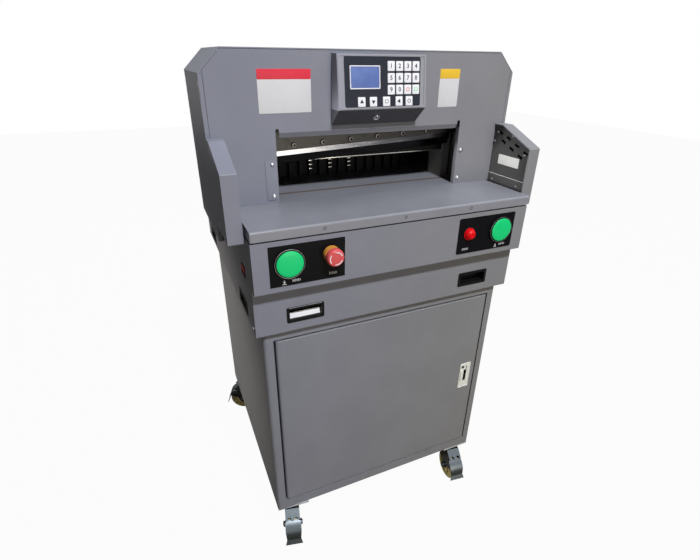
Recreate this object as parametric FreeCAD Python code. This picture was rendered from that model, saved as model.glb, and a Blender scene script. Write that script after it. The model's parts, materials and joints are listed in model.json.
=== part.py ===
import FreeCAD, Part
import math
import os

os.makedirs("parts", exist_ok=True)

# Electric paper cutter on a wheeled cabinet, in millimetres.
# X runs along the cut, Y runs from the operator to the back, Z is up.
# The origin is on the floor, midway between the stop button's front and the rear cover.

# Main sizes
total_depth = 760.0
head_width = 785.0
body_step = 37.5
cabinet_step = 17.0
caster_height = 145.0
cabinet_height = 624.0
skirt_height = 120.0
control_box_height = 118.0
table_reveal = 4.0
table_thickness = 22.0
head_height = 323.0

# Widths that follow from the head's
body_width = head_width - 2 * body_step
cabinet_width = body_width - 2 * cabinet_step

# Setbacks of the front faces behind the table's front edge
control_box_setback = 3.5
skirt_setback = 31.0
wing_setback = 34.0
cabinet_setback = 45.5
head_setback = 174.0
cabinet_rear_inset = 36.0

# Sheet thicknesses and general clearances
sheet = 2.5
cabinet_sheet = 2.0
moving_gap = 5.0
slide_gap = 0.3
panel_corner = 4.0
cut_past = 1.0

# Cabinet
post_width = 24.0
post_depth = 22.0
post_return = 8.0
seam_gap = 0.8
corner_radius = 9.0
bottom_rail_height = 30.5
top_rail_height = 28.0
door_thickness = 20.0
door_sheet = 2.0
door_corner_radius = 7.0
pivot_inset = 8.0
pivot_radius = 4.0
pivot_reach = 12.0
pivot_clearance = 0.1
pivot_hole_spare = 1.0
latch_width = 38.0
latch_height = 92.0
latch_edge_inset = 15.0
latch_centre_height = 312.0
latch_proud = 2.0
latch_slot_width = 12.0
latch_slot_height = 44.0
latch_corner = 3.0

# Recessed pull handles
pull_width = 91.0
pull_height = 40.0
pull_bezel = 7.0
pull_proud = 1.5
pull_depth = 26.0
pull_wall = 2.0
front_pull_edge_inset = 119.0
front_pull_height = 42.0
side_pull_inset = 121.0
side_pull_height = 34.0
skirt_lip = 27.5

# Control box and its controls
overlay_width = 170.0
overlay_height = 92.5
overlay_thickness = 1.0
overlay_edge_inset = 35.0
overlay_height_in_box = 60.5
green_edge_inset = 78.5
green_height = 66.0
green_radius = 29.5
green_ring_radius = 33.0
green_ring_depth = 6.0
green_travel = 4.0
green_cap_gap = 0.8
green_seat = 2.0
green_cap_length = 3.5
stem_radius = 12.0
stem_clearance = 0.3
stem_length = 34.0
estop_edge_inset = 172.5
estop_height = 72.5
estop_radius = 20.0
estop_collar_radius = 18.5
estop_collar_depth = 11.0
estop_travel = 4.0
estop_head_depth = 16.0
estop_head_back = 1.0
estop_head_corner = 4.0
estop_stem_start = 8.0
lamp_edge_inset = 173.5
lamp_radius = 15.5
lamp_depth = 12.0
lamp_ring_depth = 3.0
lamp_ring_width = 1.5
rocker_length = 36.0
rocker_height = 27.0
rocker_bezel = 3.0
rocker_centre_from_head = 67.0
rocker_centre_height = 18.0
rocker_tilt = 8.0
rocker_frame_proud = 1.5
rocker_frame_depth = 14.0
rocker_pocket_depth = 12.0
rocker_panel_gap = 0.05
rocker_face_proud = 1.0
rocker_depth = 9.0
rocker_back_taper = 0.42
rocker_swing_gap = 1.1
rocker_end_gap = 0.1
rocker_clearance = 0.6
rocker_pin_depth = 4.0
rocker_pin_radius = 1.5
rocker_pin_clearance = 0.05

# Strips that carry the table above the control box
strip_outer_inset = 6.0
strip_width = 12.0
strip_front_inset = 10.0
table_side_inset = 1.0
table_rear_gap = 0.5
table_front_radius = 5.0
box_edge_radius = 2.0

# Head
chamfer = 47.0
head_depth = 275.0
head_skirt_drop = 76.0
seam_inset = 9.0
throat_margin = 148.0
throat_height = 145.0
relief_width = 8.5
relief_height = 20.0
lip_bend_height = 11.0
lip_bend_depth = 6.0
throat_flange_depth = 12.0
side_bar_gap = 12.5
side_bar_width = 22.0
side_slot_width = 14.0
side_block_width = 40.0
side_web_depth = 28.0
crossbeam_height = 60.0
guide_front = 22.0
guide_rear = 148.0
guide_top_margin = 26.0

# Knife, clamp and back gauge, measured back from the head's face
carrier_front = 54.0
carrier_plate = 10.0
carrier_depth = 28.0
carrier_height = 98.0
carrier_overlap = 18.0
knife_stroke = 82.0
knife_slant = 2.5
blade_thickness = 10.0
blade_showing = 33.0
blade_bevel_height = 20.0
blade_edge_land = 0.4
blade_height = 92.0
blade_overhang = 18.0
edge_clearance = 1.5
stick_width = 12.0
stick_depth = 8.0
stick_overhang = 2.0
stick_end_gap = 1.0
clamp_depth = 50.0
clamp_front_gap = 6.0
clamp_height = 100.0
clamp_lift = 74.5
gauge_depth = 46.0
gauge_height = 66.0
gauge_at_rest = 225.0
gauge_rib_pitch = 30.0
gauge_rib_width = 6.0
gauge_rib_depth = 14.0

# Rear cover over the back table
rear_cover_height = 150.0

# Countersunk screw seats in the outer sheets
seat_radius = 4.4
seat_floor_radius = 2.4
seat_depth = 1.6
seat_inset = 20.0
seat_edge_inset = 12.0
seat_side_inset = 25.0
wing_seat_low = 8.0
wing_seat_places = (30.0, 110.0)

# Wings beside the table
wing_width = 32.5
wing_top_height = 152.0
wing_flat_top = 32.0
wing_front_height = 108.0
wing_drop = 34.0
wing_plate_recess = 3.0
wing_plate_thickness = 2.0
wing_plate_edge_gap = 0.05
wing_slot_length = 18.0
wing_slot_height = 7.0
wing_slot_pitch = 34.0
wing_slot_drops = (20.0, 38.0)
wing_slot_starts = (24.0, 40.0)
wing_slot_counts = (4, 3)

# Control unit on the head
unit_width = 220.0
unit_centre = -2.0
unit_top_depth = 29.0
unit_bottom_depth = 43.0
unit_top_height = 314.0
unit_bottom_height = 203.0
unit_foot_height = 167.0
unit_face_width = 188.0
unit_face_margin = 5.0
unit_face_thickness = 1.2

# Casters
wheel_radius = 50.0
wheel_width = 32.0
tread_radius = 8.0
wheel_rim = 14.0
wheel_dish = 5.0
wheel_hole_radius = 5.5
wheel_hole_circle = 25.5
wheel_hole_count = 6
hub_width = 36.0
hub_radius = 15.0
axle_radius = 6.0
axle_clearance = 0.05
axle_nut_radius = 8.5
axle_nut_height = 5.0
fork_gap = 1.0
fork_sheet = 2.5
fork_offset = 32.0
fork_rear = 24.0
fork_foot_radius = 13.0
fork_foot_drop = 4.0
fork_rear_drop = 16.0
hood_top_reach = 8.0
hood_low_reach = 32.0
hood_drop = 21.0
hood_notch_radius = 6.0
hood_notch_offset = 10.0
pedal_gap = 4.0
pedal_sheet = 2.0
pedal_low_angle = 1.0
pedal_high_angle = 63.0
pedal_ear_angle = 24.0
pedal_shoulder_height = 27.0
pedal_top_inset = 4.0
pedal_waist_inset = 2.5
pedal_waist_height = 4.0
pedal_lip = 15.0
pedal_lip_flare = 4.5
pedal_lip_angle = 65.0
caster_plate = 4.0
caster_plate_length = 92.0
caster_plate_width = 90.0
caster_race_height = 15.0
caster_race_radius = 21.0
king_pin_radius = 6.0
king_pin_end = 5.0
keeper_width = 4.0
caster_inset_x = 50.0
caster_inset_y = 44.0

# Heights and faces worked out from the sizes above
estop_front = overlay_thickness + estop_collar_depth + estop_travel + estop_head_depth
estop_reach = estop_front - control_box_setback
front_y = (estop_reach - total_depth) / 2
rear_y = (estop_reach + total_depth) / 2
cabinet_bottom = caster_height
cabinet_top = cabinet_bottom + cabinet_height
skirt_top = cabinet_top + skirt_height
box_top = skirt_top + control_box_height
table_bottom = box_top + table_reveal
table_top = table_bottom + table_thickness
head_top = table_top + head_height
box_y = front_y + control_box_setback
skirt_y = front_y + skirt_setback
wing_y = front_y + wing_setback
cabinet_y = front_y + cabinet_setback
cabinet_rear = rear_y - cabinet_rear_inset
head_y = front_y + head_setback
head_rear = head_y + head_depth
head_bottom = table_top - head_skirt_drop
half_head = head_width / 2
half_body = body_width / 2
half_cabinet = cabinet_width / 2
half_wing = half_head - wing_width
throat_half_width = half_head - throat_margin
lip_half_width = throat_half_width - relief_width
overlay_offset = half_body - overlay_edge_inset - overlay_width / 2
green_offset = half_body - green_edge_inset
estop_offset = estop_edge_inset - half_body
lamp_offset = half_body - lamp_edge_inset
front_pull_offset = half_body - front_pull_edge_inset
stem_bore = stem_radius + stem_clearance
up = FreeCAD.Vector(0, 0, 1)
inward = FreeCAD.Vector(0, 1, 0)
along_x = FreeCAD.Vector(1, 0, 0)


def save(shape, name):
    shape.exportStep("parts/" + name + ".step")


def vec(x, y, z):
    return FreeCAD.Vector(x, y, z)


def block(x0, x1, y0, y1, z0, z1):
    return Part.makeBox(x1 - x0, y1 - y0, z1 - z0, vec(x0, y0, z0))


def rod(radius, start, length, direction):
    return Part.makeCylinder(radius, length, start, direction)


def prism_yz(points, x0, x1):
    # An outline in the YZ plane, carried along X from x0 to x1.
    loop = [vec(x0, y, z) for y, z in points]
    face = Part.Face(Part.makePolygon(loop + loop[:1]))
    return face.extrude(vec(x1 - x0, 0, 0))


def prism_xz(points, y0, y1):
    # An outline in the XZ plane, carried along Y from y0 to y1.
    loop = [vec(x, y0, z) for x, z in points]
    face = Part.Face(Part.makePolygon(loop + loop[:1]))
    return face.extrude(vec(0, y1 - y0, 0))


def edges_along(shape, axis, test):
    # Straight edges that run along an axis and whose middle passes the test.
    found = []
    for edge in shape.Edges:
        if not isinstance(edge.Curve, Part.Line):
            continue
        ends = [v.Point for v in edge.Vertexes]
        run = ends[1] - ends[0]
        if run.Length < 1e-6 or abs(abs(run.dot(axis)) / run.Length - 1) > 1e-4:
            continue
        if test((ends[0] + ends[1]) * 0.5):
            found.append(edge)
    return found


def mirrored(shape):
    return shape.mirror(vec(0, 0, 0), vec(1, 0, 0))


def near(a, b):
    return abs(a - b) < 0.01


# Cabinet shell

def cabinet_post(side):
    # Closed folded post, square behind and rounded at the outer front corner.
    outer = half_cabinet
    inner = half_cabinet - post_width
    y0 = cabinet_y
    post = block(inner, outer, y0, y0 + post_depth, cabinet_bottom, cabinet_top)
    step_y = y0 + post_return
    rebate = block(outer - cabinet_sheet, outer, step_y, y0 + post_depth, cabinet_bottom, cabinet_top)
    corner = edges_along(post, up, lambda p: near(p.x, outer) and near(p.y, y0))
    post = post.makeFillet(corner_radius, corner).cut(rebate)
    return post if side > 0 else mirrored(post)


door_half_width = half_cabinet - post_width - moving_gap
door_bottom = cabinet_bottom + bottom_rail_height + moving_gap
door_top = cabinet_top - top_rail_height - moving_gap
pivot_x = -door_half_width + pivot_inset
pivot_y = cabinet_y + pivot_inset


def make_cabinet():
    posts = Part.makeCompound([cabinet_post(-1), cabinet_post(1)])
    save(posts, "cabinet_posts")
    wall_front = cabinet_y + post_return + seam_gap
    deck_top = cabinet_bottom + cabinet_sheet
    inside = half_cabinet - cabinet_sheet
    wall = block(inside, half_cabinet, wall_front, cabinet_rear, cabinet_bottom, cabinet_top)
    save(wall, "cabinet_right_wall")
    save(mirrored(wall), "cabinet_left_wall")
    back = block(-inside, inside, cabinet_rear - cabinet_sheet, cabinet_rear, cabinet_bottom, cabinet_top)
    save(back, "cabinet_back_wall")
    deck_front = cabinet_y + post_depth
    deck_rear = cabinet_rear - cabinet_sheet
    floor = block(-inside, inside, deck_front, deck_rear, cabinet_bottom, deck_top)
    roof = block(-inside, inside, deck_front, deck_rear, cabinet_top - cabinet_sheet, cabinet_top)
    save(Part.makeCompound([floor, roof]), "cabinet_decks")
    rail_half = half_cabinet - post_width
    rail_rear = cabinet_y + post_depth
    low_top = cabinet_bottom + bottom_rail_height
    high_low = cabinet_top - top_rail_height
    low = block(-rail_half, rail_half, cabinet_y, rail_rear, cabinet_bottom, low_top)
    high = block(-rail_half, rail_half, cabinet_y, rail_rear, high_low, cabinet_top)
    pin_length = moving_gap + pivot_reach
    low_pin = rod(pivot_radius, vec(pivot_x, pivot_y, low_top), pin_length, up)
    high_pin = rod(pivot_radius, vec(pivot_x, pivot_y, high_low - pin_length), pin_length, up)
    rails = Part.makeCompound([low.fuse(low_pin), high.fuse(high_pin)])
    save(rails, "cabinet_rails")


def make_door():
    y0 = cabinet_y
    y1 = cabinet_y + door_thickness
    door = block(-door_half_width, door_half_width, y0, y1, door_bottom, door_top)
    hinge_edge = edges_along(door, up, lambda p: near(p.x, -door_half_width) and near(p.y, y0))
    door = door.makeFillet(door_corner_radius, hinge_edge)
    pocket_left = pivot_x + pivot_radius + 2 * door_sheet
    pocket = block(pocket_left, door_half_width - door_sheet, y0 + door_sheet, y1,
                   door_bottom + door_sheet, door_top - door_sheet)
    door = door.cut(pocket)
    hole = pivot_radius + pivot_clearance
    depth = pivot_reach + pivot_hole_spare
    door = door.cut(rod(hole, vec(pivot_x, pivot_y, door_bottom), depth, up))
    door = door.cut(rod(hole, vec(pivot_x, pivot_y, door_top - depth), depth, up))
    latch_x = door_half_width - latch_edge_inset - latch_width / 2
    latch_z = cabinet_bottom + latch_centre_height
    slot = block(latch_x - latch_slot_width / 2, latch_x + latch_slot_width / 2, y0, y0 + door_sheet,
                 latch_z - latch_slot_height / 2, latch_z + latch_slot_height / 2)
    door = door.cut(slot)
    save(door, "cabinet_door")
    latch = block(latch_x - latch_width / 2, latch_x + latch_width / 2, y0 - latch_proud, y0,
                  latch_z - latch_height / 2, latch_z + latch_height / 2)
    latch = latch.makeFillet(latch_corner, edges_along(latch, inward, lambda p: True))
    latch = latch.cut(slot.translated(vec(0, -door_sheet, 0)))
    save(latch, "door_latch")


# Machine body below the table

def side_pull_centres():
    return [skirt_y + side_pull_inset, rear_y - side_pull_inset]


def pull_cup():
    # A recessed grip facing -Y, centred on the origin: a rounded bezel and a cup that is open in front.
    wide = pull_width / 2
    high = pull_height / 2
    bezel = block(-wide, wide, -pull_proud, 0, -high, high)
    bezel = bezel.makeFillet(panel_corner, edges_along(bezel, inward, lambda p: True))
    cup_wide = wide - pull_bezel + pull_wall
    cup_high = high - pull_bezel + pull_wall
    cup = block(-cup_wide, cup_wide, 0, pull_depth, -cup_high, cup_high)
    hollow = block(-cup_wide + pull_wall, cup_wide - pull_wall, -pull_proud, pull_depth - pull_wall,
                   -cup_high + pull_wall, cup_high - pull_wall)
    return bezel.fuse(cup).cut(hollow).removeSplitter()


def pull_cutout_size():
    return pull_width / 2 - pull_bezel + pull_wall, pull_height / 2 - pull_bezel + pull_wall


def place_pulls():
    z_front = cabinet_top + front_pull_height
    front = []
    for side in (-1, 1):
        front.append(pull_cup().translated(vec(side * front_pull_offset, skirt_y, z_front)))
    save(Part.makeCompound(front), "front_pull_handles")
    z_side = cabinet_top + side_pull_height
    cups = []
    for y in side_pull_centres():
        for side in (-1, 1):
            cup = pull_cup()
            cup.rotate(vec(0, 0, 0), up, side * 90)
            cups.append(cup.translated(vec(side * half_body, y, z_side)))
    save(Part.makeCompound(cups), "side_pull_handles")


rocker_y = head_y - rocker_centre_from_head
rocker_z = skirt_top + rocker_centre_height


def body_side(side):
    outline = [(skirt_y + sheet, cabinet_top), (skirt_y + sheet, skirt_top), (box_y + sheet, skirt_top),
               (box_y + sheet, box_top), (rear_y - sheet, box_top), (rear_y - sheet, cabinet_top)]
    panel = prism_yz(outline, half_body - sheet, half_body)
    wide, high = pull_cutout_size()
    z_side = cabinet_top + side_pull_height
    for y in side_pull_centres():
        hole = block(half_body - sheet, half_body, y - wide, y + wide, z_side - high, z_side + high)
        panel = panel.cut(hole)
    if side < 0:
        panel = mirrored(panel)
        along = rocker_length / 2
        across = rocker_height / 2
        hole = block(-half_body, -half_body + sheet, rocker_y - along, rocker_y + along,
                     rocker_z - across, rocker_z + across)
        panel = panel.cut(hole)
    return panel


def rear_seat_columns():
    reach = half_body - seat_side_inset
    return [-reach, -reach / 3, reach / 3, reach]


def make_body():
    save(body_side(-1), "body_left_panel")
    save(body_side(1), "body_right_panel")
    back = block(-half_body, half_body, rear_y - sheet, rear_y, cabinet_top, box_top)
    rows = [cabinet_top + seat_edge_inset, box_top - seat_edge_inset]
    spots = [vec(x, rear_y, z) for x in rear_seat_columns() for z in rows]
    save(seated(back, spots, vec(0, -1, 0)), "body_back_panel")
    skirt = block(-half_body, half_body, skirt_y, skirt_y + sheet, cabinet_top, skirt_top)
    wide, high = pull_cutout_size()
    z_front = cabinet_top + front_pull_height
    for side in (-1, 1):
        x = side * front_pull_offset
        skirt = skirt.cut(block(x - wide, x + wide, skirt_y, skirt_y + sheet, z_front - high, z_front + high))
    inner = half_body - sheet
    lip_front = skirt_y + sheet
    lip = block(-inner, inner, lip_front, lip_front + skirt_lip, cabinet_top, cabinet_top + sheet)
    save(skirt.fuse(lip).removeSplitter(), "skirt_front")


def button_centres():
    # Left green, right green and stop button, as x and z.
    green_z = skirt_top + green_height
    return [(-green_offset, green_z), (green_offset, green_z), (estop_offset, skirt_top + estop_height)]


def make_control_box():
    # Folded front: face, bottom return to the skirt, top return under the table.
    face = block(-half_body, half_body, box_y, box_y + sheet, skirt_top, box_top)
    inner = half_body - sheet
    bottom = block(-inner, inner, box_y + sheet, skirt_y + sheet, skirt_top, skirt_top + sheet)
    roof = block(-inner, inner, box_y + sheet, head_y, box_top - sheet, box_top)
    box = face.fuse([bottom, roof])
    for x, z in button_centres():
        box = box.cut(rod(stem_bore, vec(x, box_y - cut_past, z), sheet + 2 * cut_past, inward))
    rim = edges_along(box, along_x, lambda p: near(p.y, box_y))
    box = box.makeFillet(box_edge_radius, rim)
    # Packing strips carry the table a few millimetres above the box, leaving a shadow gap in front.
    strip_outer = half_body - strip_outer_inset
    strip_inner = strip_outer - strip_width
    strip = block(strip_inner, strip_outer, box_y + strip_front_inset, head_y, box_top, table_bottom)
    save(box.fuse([strip, mirrored(strip)]).removeSplitter(), "control_box")


# Controls

def overlay_plate(side):
    # The right plate has rounded corners, the left one is cut square.
    x_centre = side * overlay_offset
    z_centre = skirt_top + overlay_height_in_box
    wide = overlay_width / 2
    high = overlay_height / 2
    plate = block(x_centre - wide, x_centre + wide, box_y - overlay_thickness, box_y,
                  z_centre - high, z_centre + high)
    if side < 0:
        return plate
    return plate.makeFillet(panel_corner, edges_along(plate, inward, lambda p: True))


def make_overlays():
    plates = []
    for side in (-1, 1):
        plate = overlay_plate(side)
        for x, z in button_centres():
            start = vec(x, box_y - overlay_thickness - cut_past, z)
            plate = plate.cut(rod(stem_bore, start, overlay_thickness + 2 * cut_past, inward))
        plates.append(plate)
    save(Part.makeCompound(plates), "control_overlays")


def green_ring(x, z):
    front = box_y - overlay_thickness - green_ring_depth
    ring = rod(green_ring_radius, vec(x, front, z), green_ring_depth, inward)
    seat = rod(green_radius + green_cap_gap, vec(x, front, z), green_ring_depth - green_seat, inward)
    return ring.cut(seat).cut(rod(stem_bore, vec(x, front, z), green_ring_depth, inward))


def green_cap(x, z):
    front = box_y - overlay_thickness - green_ring_depth - green_travel
    cap = rod(green_radius, vec(x, front, z), green_cap_length, inward)
    return cap.fuse(rod(stem_radius, vec(x, front, z), stem_length, inward)).removeSplitter()


def make_stop_button(x, z):
    front = box_y - estop_front
    head = rod(estop_radius, vec(x, front, z), estop_head_depth - estop_head_back, inward)
    rim = [e for e in head.Edges if e.Closed and near(e.BoundBox.YMax, front)]
    head = head.makeFillet(estop_head_corner, rim)
    stem = rod(stem_radius, vec(x, front + estop_stem_start, z), stem_length + estop_stem_start, inward)
    save(head.fuse(stem).removeSplitter(), "estop_button")


def make_lamp():
    z = skirt_top + green_height
    base = box_y - overlay_thickness - lamp_ring_depth
    ring = rod(lamp_radius, vec(lamp_offset, base, z), lamp_ring_depth, inward)
    dome = Part.makeSphere(lamp_radius - lamp_ring_width)
    front_half = block(-lamp_radius, lamp_radius, -lamp_depth, 0, -lamp_radius, lamp_radius)
    save(ring.fuse(dome.common(front_half).translated(vec(lamp_offset, base, z))), "pilot_lamp")


def make_controls():
    make_overlays()
    left_green, right_green, stop = button_centres()
    save(green_cap(*left_green), "green_button_left")
    save(green_cap(*right_green), "green_button_right")
    make_stop_button(*stop)
    make_lamp()
    collar_y = box_y - overlay_thickness - estop_collar_depth
    collar = rod(estop_collar_radius, vec(stop[0], collar_y, stop[1]), estop_collar_depth, inward)
    collar = collar.cut(rod(stem_bore, vec(stop[0], collar_y, stop[1]), estop_collar_depth, inward))
    bezels = [green_ring(*left_green), green_ring(*right_green), collar, rocker_frame()]
    save(Part.makeCompound(bezels), "button_bezels")


rocker_half = rocker_length / 2 - rocker_clearance - rocker_bezel
rocker_high = rocker_height / 2 - rocker_clearance - rocker_bezel
rocker_pin_x = -half_body + rocker_pin_depth


def rocker_frame():
    # Snap-in frame in the left side panel, with the pin on which the rocker turns.
    front_x = -half_body - rocker_frame_proud
    half_y = rocker_length / 2 - rocker_panel_gap
    half_z = rocker_height / 2 - rocker_panel_gap
    frame = block(front_x, -half_body + rocker_frame_depth, rocker_y - half_y, rocker_y + half_y,
                  rocker_z - half_z, rocker_z + half_z)
    along = rocker_half + rocker_clearance
    across = rocker_high + rocker_clearance
    pocket = block(front_x, -half_body + rocker_pocket_depth, rocker_y - along, rocker_y + along,
                   rocker_z - across, rocker_z + across)
    pin = rod(rocker_pin_radius, vec(rocker_pin_x, rocker_y - along, rocker_z), 2 * along, inward)
    return frame.cut(pocket).fuse(pin).removeSplitter()


def make_rocker():
    # Paddle with one half proud and one half sunk, on a pin that runs along Y.
    lean = math.tan(math.radians(rocker_tilt)) * rocker_high
    face = -half_body - rocker_face_proud
    back = face + rocker_depth
    high = rocker_high - rocker_swing_gap
    low = rocker_high * rocker_back_taper
    half_y = rocker_half - rocker_end_gap
    outline = [(face - lean, rocker_z + high), (face + lean, rocker_z - high),
               (back, rocker_z - low), (back, rocker_z + low)]
    paddle = prism_xz(outline, rocker_y - half_y, rocker_y + half_y)
    bore_start = vec(rocker_pin_x, rocker_y - rocker_half - cut_past, rocker_z)
    bore_radius = rocker_pin_radius + rocker_pin_clearance
    bore = rod(bore_radius, bore_start, 2 * rocker_half + 2 * cut_past, inward)
    save(paddle.cut(bore), "rocker_switch")


# Table, bed and cutting stick

stick_y = head_y + carrier_front + carrier_plate


def make_table():
    half_table = half_body - table_side_inset
    table = block(-half_table, half_table, front_y, head_y - table_rear_gap, table_bottom, table_top)
    front_rim = edges_along(table, along_x, lambda p: near(p.y, front_y) and near(p.z, table_top))
    save(table.makeFillet(table_front_radius, front_rim), "front_table")
    bed = block(-half_body, half_body, head_y, rear_y, box_top, table_top)
    stick_end = blade_half + stick_overhang
    slot_end = stick_end + stick_end_gap
    stick_low = table_top - stick_depth
    stick_rear = stick_y + stick_width
    slot = block(-slot_end, slot_end, stick_y, stick_rear, stick_low, table_top)
    save(bed.cut(slot), "bed")
    save(block(-stick_end, stick_end, stick_y, stick_rear, stick_low, table_top), "cutting_stick")


# Head housing

def head_front_outline():
    # Outline of the front sheet between the side flanges, below the top sheet.
    inner = half_head - seam_inset
    corner = chamfer - seam_inset
    top = head_top - sheet - seam_gap
    return [(-inner, table_top), (inner, table_top), (inner, top - corner), (inner - corner, top),
            (-inner + corner, top), (-inner, top - corner)]


def make_head_front():
    # Front sheet with the throat, its flanges, two relief slots and the lip bent inwards between them.
    cover = prism_xz(head_front_outline(), head_y, head_y + sheet)
    flange = block(throat_half_width, throat_half_width + sheet, head_y + sheet,
                   head_y + throat_flange_depth, table_top, table_top + throat_height)
    lip_z = table_top + throat_height
    bend_z = lip_z + lip_bend_height
    throat = block(-lip_half_width, lip_half_width, head_y, head_y + sheet, table_top, bend_z)
    relief_half = relief_width / 2
    for side in (-1, 1):
        mid = side * (lip_half_width + relief_half)
        top = lip_z + relief_height - relief_half
        left = mid - relief_half
        throat = throat.fuse(block(left, left + relief_width, head_y, head_y + sheet, table_top, top))
        throat = throat.fuse(rod(relief_half, vec(mid, head_y, top), sheet, inward))
    lip = prism_yz([(head_y, bend_z), (head_y + lip_bend_depth, lip_z),
                    (head_y + lip_bend_depth + sheet, lip_z), (head_y + sheet, bend_z)],
                   -lip_half_width, lip_half_width)
    save(cover.cut(throat).fuse([lip, flange, mirrored(flange)]).removeSplitter(), "head_front_cover")


def seated(sheet_shape, spots, into):
    # Screw seats: at each spot a cone narrows from the face into the sheet.
    for spot in spots:
        cone = Part.makeCone(seat_radius, seat_floor_radius, seat_depth, spot, into)
        sheet_shape = sheet_shape.cut(cone)
    return sheet_shape


def make_head_side():
    # Side sheet with a front flange, a bottom flange and the chamfer face.
    shoulder = head_top - chamfer
    side = block(half_head - sheet, half_head, head_y, head_rear, head_bottom, shoulder)
    flange_x = half_head - seam_inset + seam_gap
    flange = block(flange_x, half_head, head_y, head_y + sheet, head_bottom, shoulder)
    floor = block(half_body + seam_gap, half_head, head_y, head_rear, head_bottom, head_bottom + sheet)
    slope = prism_xz([(half_head, shoulder), (half_head - chamfer, head_top),
                      (half_head - chamfer, head_top - sheet), (half_head - sheet, shoulder)],
                     head_y, head_rear)
    right = side.fuse([flange, floor, slope]).removeSplitter()
    rows = [head_bottom + seat_edge_inset, (head_bottom + shoulder) / 2, shoulder - seat_inset]
    spots = [vec(half_head, y, z) for y in (head_y + seat_inset, head_rear - seat_inset) for z in rows]
    right = seated(right, spots, vec(-1, 0, 0))
    save(right, "head_right_side")
    save(mirrored(right), "head_left_side")


def make_head_rear():
    shoulder = head_top - chamfer
    inner = half_head - sheet
    top = head_top - 2 * sheet
    outline = [(-inner, head_bottom + sheet), (inner, head_bottom + sheet), (inner, shoulder),
               (half_head - chamfer, top), (-half_head + chamfer, top), (-inner, shoulder)]
    rear = prism_xz(outline, head_rear - sheet, head_rear)
    passage_top = table_top + rear_cover_height
    passage = block(-half_body, half_body, head_rear - sheet, head_rear, head_bottom, passage_top)
    save(rear.cut(passage), "head_rear_cover")


def make_head():
    make_head_front()
    make_head_side()
    make_head_rear()
    roof_half = half_head - chamfer
    roof = block(-roof_half, roof_half, head_y, head_rear, head_top - sheet, head_top)
    columns = [-roof_half + seat_side_inset, 0, roof_half - seat_side_inset]
    rows = [head_y + seat_edge_inset, head_rear - seat_edge_inset]
    roof = seated(roof, [vec(x, y, head_top) for x in columns for y in rows], vec(0, 0, -1))
    save(roof, "head_top_cover")


def make_guides():
    # On each side a block and a bar joined at the rear: the knife's carrier runs in front of the bar.
    guide_y = head_y + guide_front
    guide_end = head_y + guide_rear
    guide_top = head_top - guide_top_margin
    guide = block(bar_x, block_x + side_block_width, guide_y, guide_end, table_top, guide_top)
    front_space = block(bar_x, block_x, guide_y, bar_front, table_top, guide_top)
    slot = block(bar_end, block_x, bar_front, guide_end - side_web_depth, table_top, guide_top)
    guide = guide.cut(front_space).cut(slot)
    save(Part.makeCompound([guide, mirrored(guide)]), "knife_guides")
    beam = block(-bar_x, bar_x, bar_front, guide_end, guide_top - crossbeam_height, guide_top)
    save(beam, "top_crossbeam")


# Knife, clamp and back gauge

bar_x = throat_half_width + side_bar_gap
bar_end = bar_x + side_bar_width
block_x = bar_end + side_slot_width
carrier_y = head_y + carrier_front
bar_front = carrier_y + carrier_depth + slide_gap
carrier_half = bar_x + carrier_overlap
blade_half = throat_half_width + blade_overhang
blade_y = carrier_y + carrier_plate
clamp_y = carrier_y + carrier_depth + clamp_front_gap
clamp_bottom = table_top + clamp_lift
# The cut ends with the edge level and just above the stick
blade_edge = table_top + edge_clearance
carrier_bottom = blade_edge + blade_showing
swing_radius = knife_stroke / math.sin(math.radians(knife_slant))
swing_centre = vec(-swing_radius, 0, blade_edge + knife_stroke / 2)


def raised(shape):
    # From the end of the cut to rest: a swing about a far centre on the left lifts and slants the knife.
    shape.rotate(swing_centre, inward, -knife_slant)
    return shape


def make_knife():
    # Carrier with a seat behind its front plate; the blade hangs below it with its bevel in front.
    y1 = carrier_y + carrier_depth
    z1 = carrier_bottom + carrier_height
    blade_top = blade_edge + blade_height
    outline = [(carrier_y, carrier_bottom), (blade_y, carrier_bottom), (blade_y, blade_top), (y1, blade_top),
               (y1, z1), (carrier_y, z1)]
    save(raised(prism_yz(outline, -carrier_half, carrier_half)), "knife_carrier")
    blade_rear = blade_y + blade_thickness
    bevel_top = blade_edge + blade_bevel_height
    outline = [(blade_y, blade_top), (blade_y, bevel_top), (blade_rear - blade_edge_land, blade_edge),
               (blade_rear, blade_edge), (blade_rear, blade_top)]
    save(raised(prism_yz(outline, -blade_half, blade_half)), "knife")


def make_clamp():
    half = bar_x - slide_gap
    clamp_rear = clamp_y + clamp_depth
    clamp_top = clamp_bottom + clamp_height
    save(block(-half, half, clamp_y, clamp_rear, clamp_bottom, clamp_top), "clamp_beam")


def make_back_gauge():
    y0 = head_y + gauge_at_rest
    half = throat_half_width - moving_gap
    z0 = table_top + slide_gap
    z1 = z0 + gauge_height
    beam = block(-half, half, y0 + gauge_rib_depth, y0 + gauge_depth, z0, z1)
    ribs = []
    count = int(2 * half // gauge_rib_pitch)
    start = -(count - 1) * gauge_rib_pitch / 2
    for i in range(count):
        x = start + i * gauge_rib_pitch
        left = x - gauge_rib_width / 2
        ribs.append(block(left, left + gauge_rib_width, y0, y0 + gauge_rib_depth, z0, z1))
    save(beam.fuse(ribs).removeSplitter(), "back_gauge")


def make_rear_cover():
    half = half_body
    z1 = table_top + rear_cover_height
    y0 = head_rear + seam_gap
    outer = block(-half, half, y0, rear_y, table_top, z1)
    inner = block(-half + sheet, half - sheet, y0, rear_y - sheet, table_top, z1 - sheet)
    spots = [vec(x, rear_y, z1 - seat_edge_inset) for x in rear_seat_columns()]
    save(seated(outer.cut(inner), spots, vec(0, -1, 0)), "rear_cover")


# Wings

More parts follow.
